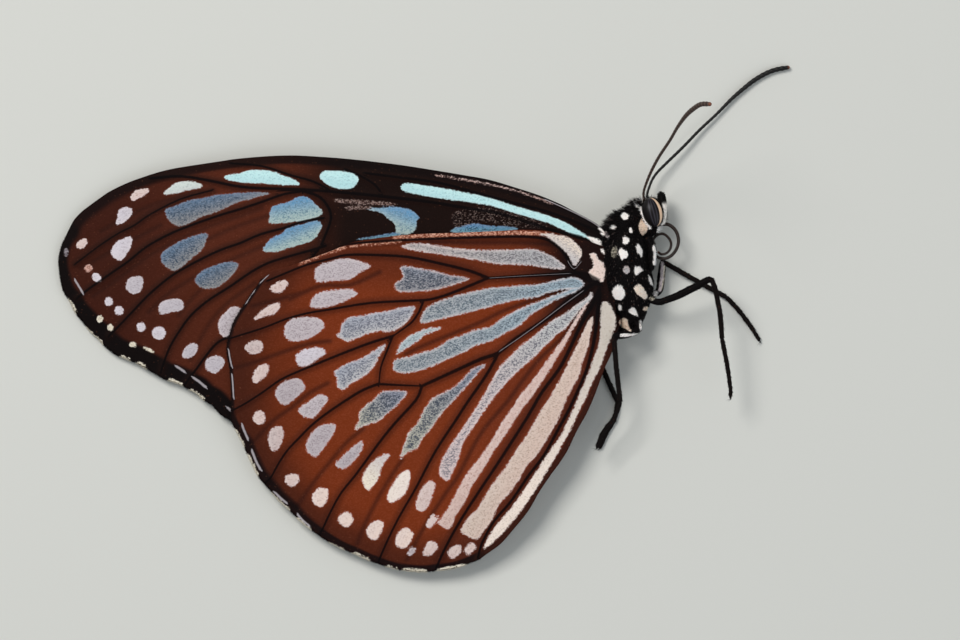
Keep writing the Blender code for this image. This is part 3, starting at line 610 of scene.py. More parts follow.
# upper colour, lower colour, colour of the dark scales, share of dark scales, share of a pale rim
TINTS = {
    "white": ((212, 204, 212), (204, 196, 202), (166, 154, 162), 0.14, 0.2),
    "chalk": ((192, 184, 190), (188, 180, 186), (154, 142, 150), 0.16, 0.2),
    "bone": ((226, 216, 196), (216, 206, 184), (170, 160, 140), 0.15, 0.0),
    "lilac": ((194, 183, 187), (190, 178, 182), (152, 138, 142), 0.26, 0.3),
    "ash": ((184, 173, 177), (180, 168, 172), (144, 130, 134), 0.26, 0.3),
    "pink": ((218, 197, 190), (214, 190, 184), (176, 146, 136), 0.16, 0.3),
    "blush": ((232, 212, 202), (234, 210, 198), (196, 168, 156), 0.14, 0.3),
    "mint": ((208, 218, 212), (198, 204, 200), (168, 176, 174), 0.10, 0.1),
    "faded": ((200, 156, 142), (194, 148, 134), (140, 96, 82), 0.22, 0.0),
    "steel": ((76, 104, 132), (122, 122, 124), (62, 76, 92), 0.34, 0.05),
    "slate": ((138, 142, 154), (142, 140, 144), (70, 76, 88), 0.58, 0.6),
    "blue": ((164, 168, 180), (186, 184, 186), (112, 114, 126), 0.50, 0.5),
    "teal": ((86, 142, 182), (160, 182, 178), (96, 126, 142), 0.28, 0.05),
    "azure": ((62, 120, 164), (96, 152, 170), (36, 60, 80), 0.38, 0.05),
    # cyan: pale scales, with a painted highlight of blue sheen in the colour
    "cyan": ((196, 236, 236), (180, 222, 224), (140, 186, 192), 0.12, 0.1),
    "sky": ((152, 172, 184), (164, 168, 172), (94, 106, 116), 0.50, 0.5),
    "frost": ((184, 174, 170), (174, 172, 174), (116, 112, 116), 0.48, 0.6),
    "shell": ((230, 214, 198), (192, 188, 188), (156, 144, 144), 0.28, 0.4),
    "rose": ((216, 188, 178), (210, 180, 170), (170, 130, 118), 0.20, 0.3),
    "cream": ((214, 194, 180), (214, 188, 174), (174, 146, 130), 0.20, 0.3),
    "ivory": ((202, 192, 180), (248, 230, 216), (186, 170, 154), 0.12, 0.2),
    "buff": ((255, 238, 220), (255, 232, 214), (210, 184, 160), 0.10, 0.0),
    "mauve": ((204, 186, 182), (202, 180, 176), (160, 140, 138), 0.20, 0.2),
    "frayed": ((214, 180, 170), (200, 160, 148), (34, 18, 16), 0.60, 0.0),
    "dusty": ((150, 122, 112), (134, 104, 94), (44, 24, 19), 0.62, 0.0),
    "sparse": ((150, 122, 112), (126, 98, 88), (22, 11, 9), 0.95, 0.0),
    "peach": ((222, 162, 134), (206, 140, 108), (112, 50, 30), 0.55, 0.0),
    # grey: a painted highlight, a glint of light on the dark border
    "grey": ((156, 146, 152), (140, 130, 136), (56, 46, 50), 0.36, 0.0),
    "tan": ((250, 224, 204), (240, 212, 188), (160, 130, 112), 0.15, 0.0),
    "dawn": ((206, 196, 194), (240, 228, 208), (192, 172, 160), 0.14, 0.3),
    "milk": ((240, 226, 214), (240, 224, 214), (204, 182, 170), 0.12, 0.3),
    "haze": ((178, 192, 196), (170, 184, 190), (116, 126, 132), 0.42, 0.5),
    "drift": ((186, 188, 188), (208, 188, 186), (112, 110, 118), 0.42, 0.6),
    "tipped": ((130, 134, 150), (176, 173, 158), (70, 76, 88), 0.56, 0.6),
    "snow": ((255, 250, 244), (255, 246, 240), (222, 206, 198), 0.05, 0.0),
    "moss": ((168, 160, 142), (150, 142, 126), (40, 36, 32), 0.55, 0.0),
}
# Tints that change along the length of a mark, from its lower to its upper end, and not across it
ALONG = ("ivory", "frost", "sky", "dawn", "drift", "tipped")


def dot(x, y, half_width, half_height, degrees, count=12):
    """Points of an ellipse: centre plus half width times cosine and half height times sine, then turned."""
    turn = np.linspace(0, 2 * np.pi, count, endpoint=False)
    lean = math.radians(-degrees)
    a, b = half_width * np.cos(turn), half_height * np.sin(turn)
    return np.column_stack([x + a * math.cos(lean) - b * math.sin(lean),
                            y + a * math.sin(lean) + b * math.cos(lean)])


def marks_over(points, marks, dots, strokes):
    """Deepest mark at each point, as its depth, and the two colours, dusting and rim of that mark's tint."""
    depth = np.full(len(points), -FAR)
    over = np.zeros((len(points), 3))
    under = np.zeros((len(points), 3))
    dust, rim = np.zeros(len(points)), np.zeros(len(points))
    shapes = [(tint, smooth(to_mm(outline), 4, closed=True), None) for tint, outline in marks]
    shapes += [(tint, to_mm(dot(*sizes)), None) for tint, *sizes in dots]
    shapes += [(tint, to_mm(line), half / SQUARES) for tint, half, line in strokes]
    for tint, outline, half in shapes:
        deep = depth_in(points, outline) if half is None else half - line_distance(points, outline)
        won = deep > depth
        depth[won] = deep[won]
        middle = outline.mean(axis=0)
        _, _, axes = np.linalg.svd(outline - middle, full_matrices=False)
        upward = axes[0 if tint in ALONG else 1]
        upward = upward * np.sign(upward[1] + 1e-9)
        reach = np.abs((outline - middle) @ upward).max() + 1e-6
        share = ramp(((points[won] - middle) @ upward) / reach, -0.7, 0.8)[:, None]
        top, bottom, ground, thin, edge = TINTS[tint]
        over[won] = share * linear(*top) + (1 - share) * linear(*bottom)
        under[won] = linear(*ground)
        dust[won], rim[won] = thin, edge
    return depth, over, under, dust, rim


print("tints:", ", ".join(TINTS))

# %% [markdown]
# ## Materials from small parts
# Two node groups are shared. One turns a distance into a mask with a ragged, scaly edge. The other cuts the
# surface into tiny cells, like the scales of a wing, and gives each two random numbers and a height for the
# bump.

# %% Node helpers and the shared groups


def add_node(tree, kind, inputs=None, **settings):
    """A shader node with its settings, and with each named input set to a value or linked to a socket."""
    made = tree.nodes.new(kind)
    for key, value in settings.items():
        setattr(made, key, value)
    for key, value in (inputs or {}).items():
        if isinstance(value, bpy.types.NodeSocket):
            tree.links.new(value, made.inputs[key])
        else:
            made.inputs[key].default_value = value
    return made


def maths(tree, operation, first, second=0.0, third=0.0):
    """One arithmetic step, as an output socket."""
    return add_node(tree, "ShaderNodeMath", {0: first, 1: second, 2: third}, operation=operation).outputs[0]


def mixed(tree, share, first, second):
    """Colour mix: (1 - share) times the first plus share times the second."""
    inputs = {"Factor": share, 6: first, 7: second}
    return add_node(tree, "ShaderNodeMix", inputs, data_type="RGBA").outputs[2]


def slope(tree, value, start, finish):
    """0 below start, 1 above finish and a smooth slope between, as an output socket."""
    inputs = {"Value": value, "From Min": start, "From Max": finish}
    return add_node(tree, "ShaderNodeMapRange", inputs, interpolation_type="SMOOTHSTEP").outputs[0]


def new_group(name, inputs, outputs):
    """An empty node group with named inputs (name, kind, default) and outputs (name, kind)."""
    group = bpy.data.node_groups.new(name, "ShaderNodeTree")
    for label, kind, default in inputs:
        group.interface.new_socket(label, in_out="INPUT", socket_type=kind).default_value = default
    for label, kind in outputs:
        group.interface.new_socket(label, in_out="OUTPUT", socket_type=kind)
    return group, group.nodes.new("NodeGroupInput").outputs, group.nodes.new("NodeGroupOutput").inputs


def scale_cells_group():
    """Cells about Size mm wide, and Stretch times longer along x: two random numbers and a height each."""
    inputs = (("Size", "NodeSocketFloat", 0.1), ("Stretch", "NodeSocketFloat", 1.6))
    group, given, result = new_group("Scale cells", inputs,
                                     (("Random", "NodeSocketFloat"), ("Other", "NodeSocketFloat"),
                                      ("Height", "NodeSocketFloat")))
    place = add_node(group, "ShaderNodeTexCoord").outputs["Object"]
    squeeze = add_node(group, "ShaderNodeCombineXYZ", {"X": maths(group, "DIVIDE", 1.0, given["Stretch"]),
                                                       "Y": 1.0, "Z": 1.0}).outputs[0]
    place = add_node(group, "ShaderNodeVectorMath", {0: place, 1: squeeze}, operation="MULTIPLY").outputs[0]
    cells = add_node(group, "ShaderNodeTexVoronoi",
                     {"Vector": place, "Scale": maths(group, "DIVIDE", 1000.0, given["Size"])})
    parts = add_node(group, "ShaderNodeSeparateColor", {0: cells.outputs["Color"]}).outputs
    group.links.new(parts[0], result["Random"])
    group.links.new(parts[1], result["Other"])
    group.links.new(maths(group, "SUBTRACT", 1.0, cells.outputs["Distance"]), result["Height"])
    return group


def ragged_edge_group():
    """Mask = slope of (Distance + Rag times noise) across Soft, so that the edge wanders by Rag mm."""
    inputs = (("Distance", "NodeSocketFloat", 0.0), ("Rag", "NodeSocketFloat", 0.08),
              ("Soft", "NodeSocketFloat", 0.03), ("Grain", "NodeSocketFloat", 0.25))
    group, given, result = new_group("Ragged edge", inputs, (("Mask", "NodeSocketFloat"),))
    place = add_node(group, "ShaderNodeTexCoord").outputs["Object"]
    noise = add_node(group, "ShaderNodeTexNoise", {"Vector": place, "Detail": 2.0,
                                                   "Scale": maths(group, "DIVIDE", 1000.0, given["Grain"])})
    wander = maths(group, "MULTIPLY", maths(group, "SUBTRACT", noise.outputs[0], 0.5), given["Rag"])
    moved = maths(group, "MULTIPLY_ADD", wander, 3.0, given["Distance"])
    edge = slope(group, moved, maths(group, "MULTIPLY", given["Soft"], -1.0), given["Soft"])
    group.links.new(edge, result["Mask"])
    return group


SCALE_CELLS = scale_cells_group()
RAGGED_EDGE = ragged_edge_group()


def use_group(tree, group, inputs):
    """The outputs of a node that runs a shared group."""
    return add_node(tree, "ShaderNodeGroup", inputs, node_tree=group).outputs


def brighter(tree, colour, times):
    """A colour made several times brighter and a little greyer."""
    inputs = {"Value": times, "Saturation": 0.95, "Color": colour}
    return add_node(tree, "ShaderNodeHueSaturation", inputs).outputs[0]


def named(tree, attribute, output="Fac"):
    """The value or colour of a named attribute of the mesh."""
    return add_node(tree, "ShaderNodeAttribute", attribute_name=attribute).outputs[output]


def new_material(name, roughness, specular=0.5, coat=0.0, sheen=0.0):
    """A material with one Principled shader, and that shader's inputs."""
    material = bpy.data.materials.new(name)
    material.use_nodes = True
    shader = material.node_tree.nodes["Principled BSDF"]
    shader.inputs["Roughness"].default_value = roughness
    shader.inputs["Specular IOR Level"].default_value = specular
    shader.inputs["Coat Weight"].default_value = coat
    shader.inputs["Coat Roughness"].default_value = 0.25
    shader.inputs["Sheen Weight"].default_value = sheen
    shader.inputs["Sheen Roughness"].default_value = 0.4
    return material, material.node_tree, shader.inputs


def rgba(red, green, blue):
    """A screen colour as the four linear numbers that a socket takes."""
    return (*linear(red, green, blue), 1.0)


print("shared groups:", SCALE_CELLS.name, "and", RAGGED_EDGE.name)

# %% [markdown]
# ## The wing material
# From the ground up: the brown ground, darker or lighter from scale to scale; the marks, pale at the rim and
# dusted inside; the veins; and the lines of light on the stoutest ones. The random number of a cell is
# compared with the dusting share, so a scale is either pale or dark, never halfway.

# %% Wing material
NEAR_LINE = (-0.17, -0.07)


def line_mask(tree, line, width, rag, soft):
    """Mask of a drawn line: near it by its plain distance, and sharp by its signed share, which crosses zero."""
    near = slope(tree, named(tree, line[0]), *NEAR_LINE)
    inward = maths(tree, "SUBTRACT", 1.0, maths(tree, "ABSOLUTE", named(tree, line[1])))
    edge = use_group(tree, RAGGED_EDGE, {"Distance": maths(tree, "MULTIPLY", inward, width), "Rag": rag,
                                         "Soft": soft, "Grain": 0.15})["Mask"]
    return maths(tree, "MULTIPLY", near, edge)


def wing_material(name, rag, fray=0.10):
    """Ground, then marks, then veins, each masked by its own distance attribute.

    Rag is how far in mm a mark's edge wanders, and fray how far it differs from scale to scale.
    """
    material, tree, shader = new_material(name, 0.6, 0.04)
    cells = use_group(tree, SCALE_CELLS, {"Size": 0.062, "Stretch": 1.5})
    # The ground: lighter and darker cells, and a few stray pale scales
    ground = named(tree, "ground", "Color")
    lighter = brighter(tree, ground, 1.5)
    ground = mixed(tree, maths(tree, "MULTIPLY", slope(tree, cells["Random"], 0.35, 1.0), 0.4), ground, lighter)
    stray = slope(tree, cells["Other"], 0.990, 0.995)
    ground = mixed(tree, maths(tree, "MULTIPLY", stray, 0.08), ground, rgba(206, 130, 96))
    # The mark: its edge frays from cell to cell, and the ground beside it is warmer
    deep = named(tree, "mark")
    frayed = maths(tree, "MULTIPLY_ADD", maths(tree, "SUBTRACT", cells["Other"], 0.5), fray, deep)
    halo = maths(tree, "MULTIPLY", slope(tree, frayed, -0.13, 0.0), 0.35)
    warm = brighter(tree, ground, 3.2)
    ground = mixed(tree, halo, ground, warm)
    mark = use_group(tree, RAGGED_EDGE, {"Distance": frayed, "Rag": rag, "Soft": 0.03, "Grain": 0.22})["Mask"]
    # The dusting: dark scales show inside the mark where a cell's random number is below their share
    inner = slope(tree, deep, 0.04, 0.40)
    even_share = maths(tree, "SUBTRACT", 1.0, maths(tree, "MULTIPLY", named(tree, "rim"), 20.0))
    inner = maths(tree, "MAXIMUM", maths(tree, "MULTIPLY_ADD", inner, 0.85, 0.15), even_share)
    share = maths(tree, "MULTIPLY", named(tree, "dust"), inner)
    thin = slope(tree, maths(tree, "SUBTRACT", share, cells["Random"]), -0.28, 0.28)
    over = named(tree, "over", "Color")
    rim = maths(tree, "MULTIPLY", maths(tree, "SUBTRACT", 1.0, slope(tree, deep, 0.03, 0.17)), named(tree, "rim"))
    pale = mixed(tree, rim, over, rgba(226, 204, 200))
    pale = mixed(tree, maths(tree, "MULTIPLY", cells["Other"], 0.14), pale, rgba(250, 246, 246))
    colour = mixed(tree, mark, ground, mixed(tree, thin, pale, named(tree, "under", "Color")))
    # The veins, and the light on the stoutest ones
    vein = line_mask(tree, ("vein", "across"), 0.11, 0.02, 0.05)
    colour = mixed(tree, maths(tree, "MULTIPLY", vein, 0.92), colour, rgba(8, 4, 5))
    shine = line_mask(tree, ("shine", "shine_across"), 0.05, 0.015, 0.03)
    colour = mixed(tree, maths(tree, "MULTIPLY", shine, 0.75), colour, rgba(186, 178, 182))
    tree.links.new(colour, shader["Base Color"])
    bump = add_node(tree, "ShaderNodeBump", {"Strength": 0.35, "Distance": 0.00003, "Height": cells["Height"]})
    tree.links.new(bump.outputs[0], shader["Normal"])
    return material


FOREWING_SKIN = wing_material("forewing scales", 0.05)
HINDWING_SKIN = wing_material("hindwing scales", 0.06, 0.15)
print("wing materials:", FOREWING_SKIN.name, "and", HINDWING_SKIN.name)

# %% [markdown]
# ## The four wings
# Height = the wing's own height, plus a ridge of RIDGE times exp(-(distance to a vein / RIDGE_REACH) squared),
# minus a trough of the same form along the folds. The ground colour is mixed for each point from its place:
# nearly black at the root, on the front edge and along the outer margin, and brown between, with painted shade
# beside the veins and along the folds.

# %% Build the wings
VEIN_SHARE = 0.9  # of the half width that a vein is drawn with
RIDGE, RIDGE_REACH = 0.06, 0.17
TROUGH, TROUGH_REACH = 0.045, 0.35
SHEET = 0.11


def least_distance(points, lines):
    """Distance to the nearest of several smooth lines."""
    return np.min([line_distance(points, to_mm(smooth(line, 3))) for line in lines], axis=0)


def vein_depths(points, veins, taper=0.0):
    """Half width minus distance for the nearest vein, and its distance over its half width, minus on the right.

    The half width is multiplied by 1 + taper times (0.25 - share of the line passed), so a vein gets thinner.
    """
    depth, across = np.full(len(points), -np.inf), np.zeros(len(points))
    for half, line in veins:
        distance, side, place = line_side(points, to_mm(smooth(line, 3)))
        half_mm = VEIN_SHARE * half / SQUARES * (1 + taper * (0.25 - place))
        won = half_mm - distance > depth
        depth[won] = (half_mm - distance)[won]
        across[won] = (side * distance / half_mm)[won]
    return depth, across


def blend_colours(base, *layers):
    """Lays colours over a base one by one: base times (1 - share) plus colour times share."""
    colours = np.broadcast_to(linear(*base), (len(layers[0][0]), 3)).copy()
    for share, colour in layers:
        colours += share[:, None] * (linear(*colour) - colours)
    return colours


def forewing_ground_and_shade(points, grid, veins, folds):
    """Dark brown, darker towards the body, the front edge and the outer margin, with painted shade beside the
    veins and along the folds.
    """
    front = line_distance(points, to_mm(smooth(FOREWING_FRONT, 3)))
    margin = line_distance(points, to_mm(smooth(FOREWING_OUTER, 3)))
    border = 0.65 + 0.75 * ramp(grid[:, 1], 255, 335)
    apex = 0.9 + 0.4 * (1 - ramp(grid[:, 0], 90, 200))
    return blend_colours((80, 35, 20),
                         (ramp(grid[:, 0], 270, 350), (24, 12, 9)),
                         ((1 - ramp(grid[:, 0], 110, 230)) * 0.75, (50, 21, 14)),
                         (1 - ramp(margin - border, -0.1, 0.35), (14, 8, 8)),
                         ((1 - ramp(front, 0.6, apex)) * 0.9, (17, 9, 9)),
                         # Painted shade: a soft dark band beside each vein and along each fold
                         ((1 - ramp(-veins, 0.0, 0.5)) * 0.60, (27, 13, 10)),
                         ((1 - ramp(folds, 0.0, 0.35)) * 0.50, (36, 17, 13)),
                         (ramp(grid[:, 0], 560, 600) * 0.8, (12, 8, 9)))


def hindwing_ground_and_shade(points, grid, veins, folds):
    """Red brown, darker along the inner edge and towards the root, with painted shade beside the veins and along
    the folds.
    """
    inner = line_distance(points, to_mm(smooth(HINDWING_REAR, 3)))
    root = np.linalg.norm(grid - (600, 275), axis=1)
    margin = line_distance(points, to_mm(smooth(HINDWING_OUTER, 3)))
    lower = ramp(grid[:, 1], 405, 440)
    border = 0.14 + 0.60 * lower - 0.28 * ramp(grid[:, 1], 500, 560)
    return blend_colours((117, 48, 20),
                         ((1 - ramp(grid[:, 0], 240, 350)) * 0.6, (72, 30, 14)),
                         ((1 - ramp(margin, 0.8, 4.4)) * 0.8, (60, 27, 17)),
                         ((1 - ramp(grid[:, 1], 262, 300)) * 0.55, (74, 32, 18)),
                         (ramp(grid[:, 0], 450, 540) * ramp(grid[:, 1], 300, 420) * 0.5, (84, 36, 22)),
                         ((1 - ramp(inner, 1.0, 5.0)) * 0.5, (78, 36, 26)),
                         # Painted shade: a soft dark band beside each vein and along each fold
                         ((1 - ramp(-veins, 0.05, 0.60)) * 0.52, (48, 19, 12)),
                         ((1 - ramp(folds, 0.0, 0.38)) * 0.68, (46, 19, 13)),
                         ((1 - ramp(margin - border, 0.0, 0.22)) * 0.94, (16, 9, 10)),
                         ((1 - ramp(inner, 0.35, 0.75)) * 0.80, (40, 20, 15)),
                         ((1 - ramp(root, 30, 95)) * 0.95, (15, 8, 8)))


# What differs between the two kinds of wing. The offset is the height above or below the middle.
WING_KINDS = {
    "forewing": {"edges": (FOREWING_FRONT, FOREWING_OUTER, FOREWING_REAR), "veins": FOREWING_VEINS, "taper": 0.2,
                 "folds": FOREWING_FOLDS, "marks": (FOREWING_MARKS, FOREWING_DOTS, FOREWING_STROKES),
                 "shine": FOREWING_SHINE, "ground": forewing_ground_and_shade, "skin": FOREWING_SKIN, "offset": 0.20,
                 "rows": 280, "columns": 130},
    "hindwing": {"edges": (HINDWING_FRONT, HINDWING_OUTER, HINDWING_REAR), "veins": HINDWING_VEINS, "taper": 0.5,
                 "folds": HINDWING_FOLDS, "marks": (HINDWING_MARKS, HINDWING_DOTS, HINDWING_STROKES),
                 "shine": HINDWING_SHINE, "ground": hindwing_ground_and_shade, "skin": HINDWING_SKIN, "offset": 0.55,
                 "rows": 190, "columns": 230},
}


def build_wing(side_name, side, kind):
    """One wing: a four-edge patch lifted to its height, with its distances and colours as attributes."""
    traits = WING_KINDS[kind]
    rows, columns = traits["rows"], traits["columns"]
    grid = four_edge_patch(*traits["edges"], rows, columns).reshape(-1, 2)
    points = to_mm(grid)
    veins, across = vein_depths(points, traits["veins"], traits["taper"])
    folds = least_distance(points, traits["folds"])
    relief = (RIDGE * np.exp(-(np.minimum(veins, 0) / RIDGE_REACH) ** 2)
              - TROUGH * np.exp(-(folds / TROUGH_REACH) ** 2))
    height = wing_height(points, side, traits["offset"]) + side * relief
    faces = grid_faces(rows, columns)
    node = side_name + "_" + kind
    wing = mesh_object("fine_" + node, np.column_stack([points, height]) * MM,
                       faces if side < 0 else faces[:, ::-1], traits["skin"])
    put_scales(wing, marks_over(points, *traits["marks"]), (veins, across, *vein_depths(points, traits["shine"])),
               traits["ground"](points, grid, veins, folds))
    solid = wing.modifiers.new("thickness", "SOLIDIFY")
    solid.thickness = SHEET * MM
    solid.offset = 0
    return own(wing, kind, node)


WINGS = [build_wing(side_name, side, kind) for kind in WING_KINDS for side_name, side in SIDES]
print("wing points:", [len(wing.data.vertices) for wing in WINGS])

# %% [markdown]
# ## Body parts as tubes
# Thorax, head, feelers, legs and abdomen are all tubes: rings that stand square to a curved line. A ring's
# point = centre + level times depth times cosine + upright times height times sine. The two ends close in a
# single point each, so nothing is left open.

# %% Tubes, and a dress of scales for them


def path(points, count):
    """Evenly spaced points in mm on a smooth curve through (grid x, grid y, height) points."""
    points = np.asarray(points, float)
    return even(smooth(np.column_stack([to_mm(points[:, :2]), points[:, 2]]), 12), count)


def spread(values, count):
    """A few values given along a line, read off smoothly at many points."""
    knots = np.column_stack([np.linspace(0, 1, len(values)), values])
    fine = smooth(knots, 12)
    return np.interp(np.linspace(0, 1, count), fine[:, 0], fine[:, 1])


def rounded(count, share):
    """1 along the middle, and a quarter circle down to nearly 0 over a share of the length at each end."""
    along = np.linspace(0, 1, count)
    end = np.clip(np.minimum(along, 1 - along) / share, 0.0004, 1)
    return np.sqrt(1 - (1 - end) ** 2)


def rings_of(spine, depths, heights, sides):
    """The rings' points as an array of stations by sides by 3."""
    along = np.gradient(spine, axis=0)
    along /= np.linalg.norm(along, axis=1)[:, None]
    level = np.cross((0, 0, 1), along)
    level /= np.linalg.norm(level, axis=1)[:, None]
    upright = np.cross(along, level)
    turn = (np.arange(sides) + 0.5) * 2 * np.pi / sides
    return (spine[:, None] + level[:, None] * (np.asarray(depths)[:, None] * np.cos(turn))[..., None]
            + upright[:, None] * (np.asarray(heights)[:, None] * np.sin(turn))[..., None])


def tube_faces(stations, sides):
    """Quads between rings, and triangles that close each end on its own point."""
    index = np.arange(stations * sides).reshape(stations, sides)
    beyond = np.roll(index, -1, axis=1)
    quads = np.stack([index[:-1], beyond[:-1], beyond[1:], index[1:]], axis=-1).reshape(-1, 4)
    first, last = np.full(sides, stations * sides), np.full(sides, stations * sides + 1)
    start = np.column_stack([first, beyond[0], index[0]])
    finish = np.column_stack([last, index[-1], beyond[-1]])
    return quads.tolist() + start.tolist() + finish.tolist()


def one_tone(points, colour):
    """The same colour for every point or hair."""
    return np.broadcast_to(linear(*colour), (len(points), 3))


def dress(piece, points, ground):
    """The attributes that the scale material reads, for any part of the body: marks, and no lines."""
    no_lines = [np.full(len(points), -FAR)] * 4
    put_scales(piece, marks_over(points[:, :2], *BODY), no_lines, one_tone(points, ground))


def build_tube(name, rings, material, slot_name, nodes, ground=None):
    """A closed tube from its rings, dressed with scales when a ground colour is given."""
    stations, sides = rings.shape[:2]
    points = np.vstack([rings.reshape(-1, 3), rings[0].mean(axis=0), rings[-1].mean(axis=0)])
    points[:, 2] = np.maximum(points[:, 2], REST)
    piece = mesh_object(name, points * MM, tube_faces(stations, sides), material)
    if ground is not None:
        dress(piece, points, ground)
    return own(piece, slot_name, *nodes)


# Marks of white scales on the head, the thorax and the legs, in grid squares
BODY_MARKS = [
    ("snow", ((620.5, 216.3), (622.1, 213.7), (624.7, 212.4), (627.4, 214.2), (628.7, 216.3), (626.8, 218.9),
               (624.2, 220.3), (622.1, 218.4))),
    ("snow", ((617.9, 252.6), (618.9, 248.9), (621, 247.9), (623.5, 250), (626.3, 251.6), (627.9, 254.7),
               (626.3, 257.9), (623.7, 258.9), (621, 260.5), (619.5, 257.4))),
    ("snow", ((635.5, 245.8), (637.4, 243.7), (639.5, 245.8), (641.6, 248.9), (642.3, 253.7), (640.5, 257.7),
               (638.6, 254.2), (636.3, 252.6))),
    ("snow", ((634, 266.3), (637.4, 267.4), (638.9, 265.5), (640.5, 267.9), (642.8, 270), (640, 272.1),
               (635.3, 275.8), (633.7, 271.6))),
    ("snow", ((611.6, 291.6), (613.7, 287.4), (617.9, 284.5), (622.1, 286.8), (624.7, 293.7), (623.2, 297.9),
               (618.9, 300.2), (613.7, 297.7))),
    ("buff", ((633.2, 288.4), (636.3, 284.2), (640.5, 285.3), (644.7, 290.5), (647.4, 295.8), (644.7, 299.5),
              (640.5, 296.8), (636.3, 293.7))),
    ("snow", ((628.1, 310), (631.6, 306.8), (634.7, 308.9), (636.8, 312.6), (638.6, 316.8), (635.3, 315.3),
               (631, 314.2))),
    ("tan", ((618.9, 321.6), (622.6, 317.7), (626.8, 318.9), (628.4, 324.2), (630.5, 331), (626.3, 329.5),
             (620.5, 325.8))),
    ("snow", ((622.6, 237.4), (625.3, 236.8), (629.2, 240.5), (626.3, 243.9), (622.4, 243.7))),
    ("snow", ((647.7, 275), (650.5, 277.5), (653, 284.5), (651.2, 285.5), (648.3, 281))),
    ("moss", ((612, 248), (616, 246.5), (616.5, 252), (614, 259), (610.5, 255))),
    ("frost", ((599.5, 228), (604.5, 230.5), (608.5, 235), (609.5, 239), (606, 237), (601, 233))),
    ("pink", ((590, 239), (597, 239.5), (602, 242.5), (600.5, 246.5), (595, 244.5), (590, 241.5))),
    ("pink", ((600.5, 249), (604.5, 252), (603.5, 255), (600.8, 252))),
    ("pink", ((590.7, 254.6), (595.2, 254.6), (598.7, 260.9), (604.1, 265.4), (605.4, 272.5), (603.2, 281.4),
              (597, 279.6), (589.8, 273.4), (591.6, 268.9), (594.3, 265.4), (592.5, 260))),
    ("tan", ((638.2, 227.4), (640.5, 219), (643.7, 222), (647.4, 228.4), (645.8, 232.6), (642.6, 235.8),
             (640, 232.6))),
]
BODY_DOTS = [
    ("snow", 613.3, 227.4, 2.7, 2.3, 0), ("snow", 630.4, 230.8, 2.0, 2.8, 0), ("frost", 626, 270, 3.4, 4.2, 0),
    ("snow", 655.4, 293, 2.6, 3.6, 30), ("tan", 645.5, 308.5, 3.2, 2.2, 20), ("snow", 619.6, 307.3, 2.1, 3.3, 15),
    ("snow", 637.2, 206.2, 1.9, 1.5, 0), ("tan", 642, 197.8, 1.8, 2.2, 0), ("snow", 660, 230.5, 3.6, 4.8, 0),
    ("moss", 651.5, 298, 3.0, 2.4, 0),
]
BODY_STROKES = [
    ("snow", 1.3, ((640.3, 321), (640.8, 330))), ("snow", 1.3, ((621, 335.3), (638.5, 334.6))),
    ("snow", 1.45, ((640.3, 208), (642.7, 216), (646.2, 223), (649.8, 228))),
    # The lilac and bone lines on the left midleg's thigh are a painted highlight along its lit side
    ("snow", 0.9, ((642.3, 202.3), (646.3, 198.8))), ("lilac", 1.5, ((662.6, 263), (662.1, 278), (660, 290))),
    ("bone", 0.6, ((664.8, 266), (664.2, 278), (662, 289))),
    ("snow", 1.5, ((653.4, 246), (654.6, 254), (654, 264))),
]
BODY = (BODY_MARKS, BODY_DOTS, BODY_STROKES)
BODY_SKIN = wing_material("body scales", 0.05)
print("body marks:", len(BODY_MARKS) + len(BODY_DOTS) + len(BODY_STROKES))

# %% [markdown]
# ## Hairs
# A hair is a thin three-sided spike that is closed at its root and bends a little on the way to its tip.
# Thousands of them are joined in one mesh. Roots are picked at random over a tube's faces, a face's chance
# being its area.

# %% Hairs as joined meshes
HAIRS = {"thorax": 16000, "abdomen": 3000, "head": 2600, "palp": 900, "foreleg": 700}


def spikes(name, roots, directions, lengths, width, tones, slot_name="black_scales", sway=0.25):
    """Spikes of 7 points each: three at the root, three halfway and one at the tip, which bends to one side."""
    directions = directions / np.linalg.norm(directions, axis=1)[:, None]
    across = np.cross(directions, rng.normal(size=roots.shape))
    across /= np.linalg.norm(across, axis=1)[:, None]
    other = np.cross(directions, across)
    turn = np.arange(3) * 2 * np.pi / 3
    ring = across[:, None] * np.cos(turn)[None, :, None] + other[:, None] * np.sin(turn)[None, :, None]
    half = width / 2
    bend = across * (sway * lengths * rng.uniform(-1, 1, len(roots)))[:, None]
    middle = roots + directions * (lengths * 0.5)[:, None] + bend * 0.3
    tip = roots + directions * lengths[:, None] + bend
    points = np.concatenate([roots[:, None] + ring * half, middle[:, None] + ring * half * 0.75, tip[:, None]],
                            axis=1)
    points[..., 2] = np.maximum(points[..., 2], REST)
    one = np.array([(0, 2, 1), (0, 1, 4), (0, 4, 3), (1, 2, 5), (1, 5, 4), (2, 0, 3), (2, 3, 5),
                    (3, 4, 6), (4, 5, 6), (5, 3, 6)])
    faces = (one[None] + 7 * np.arange(len(roots))[:, None, None]).reshape(-1, 3)
    piece = mesh_object(name, points.reshape(-1, 3) * MM, faces, HAIR)
    put_colour(piece, "tone", np.repeat(tones, 7, axis=0))
    return own(piece, slot_name)


def roots_on(rings, count):
    """Random places on a tube, with the outward normal and the direction along the tube at each."""
    corner = rings[:-1]
    side = np.roll(rings, -1, axis=1)[:-1] - corner
    along = rings[1:] - corner
    normal = np.cross(side, along).reshape(-1, 3)
    area = np.linalg.norm(normal, axis=1)
    pick = rng.choice(len(area), count, p=area / area.sum())
    u, v = rng.uniform(size=(2, count, 1))
    roots = corner.reshape(-1, 3)[pick] + u * side.reshape(-1, 3)[pick] + v * along.reshape(-1, 3)[pick]
    forward = along.reshape(-1, 3)[pick]
    return roots, normal[pick] / area[pick][:, None], forward / np.linalg.norm(forward, axis=1)[:, None]


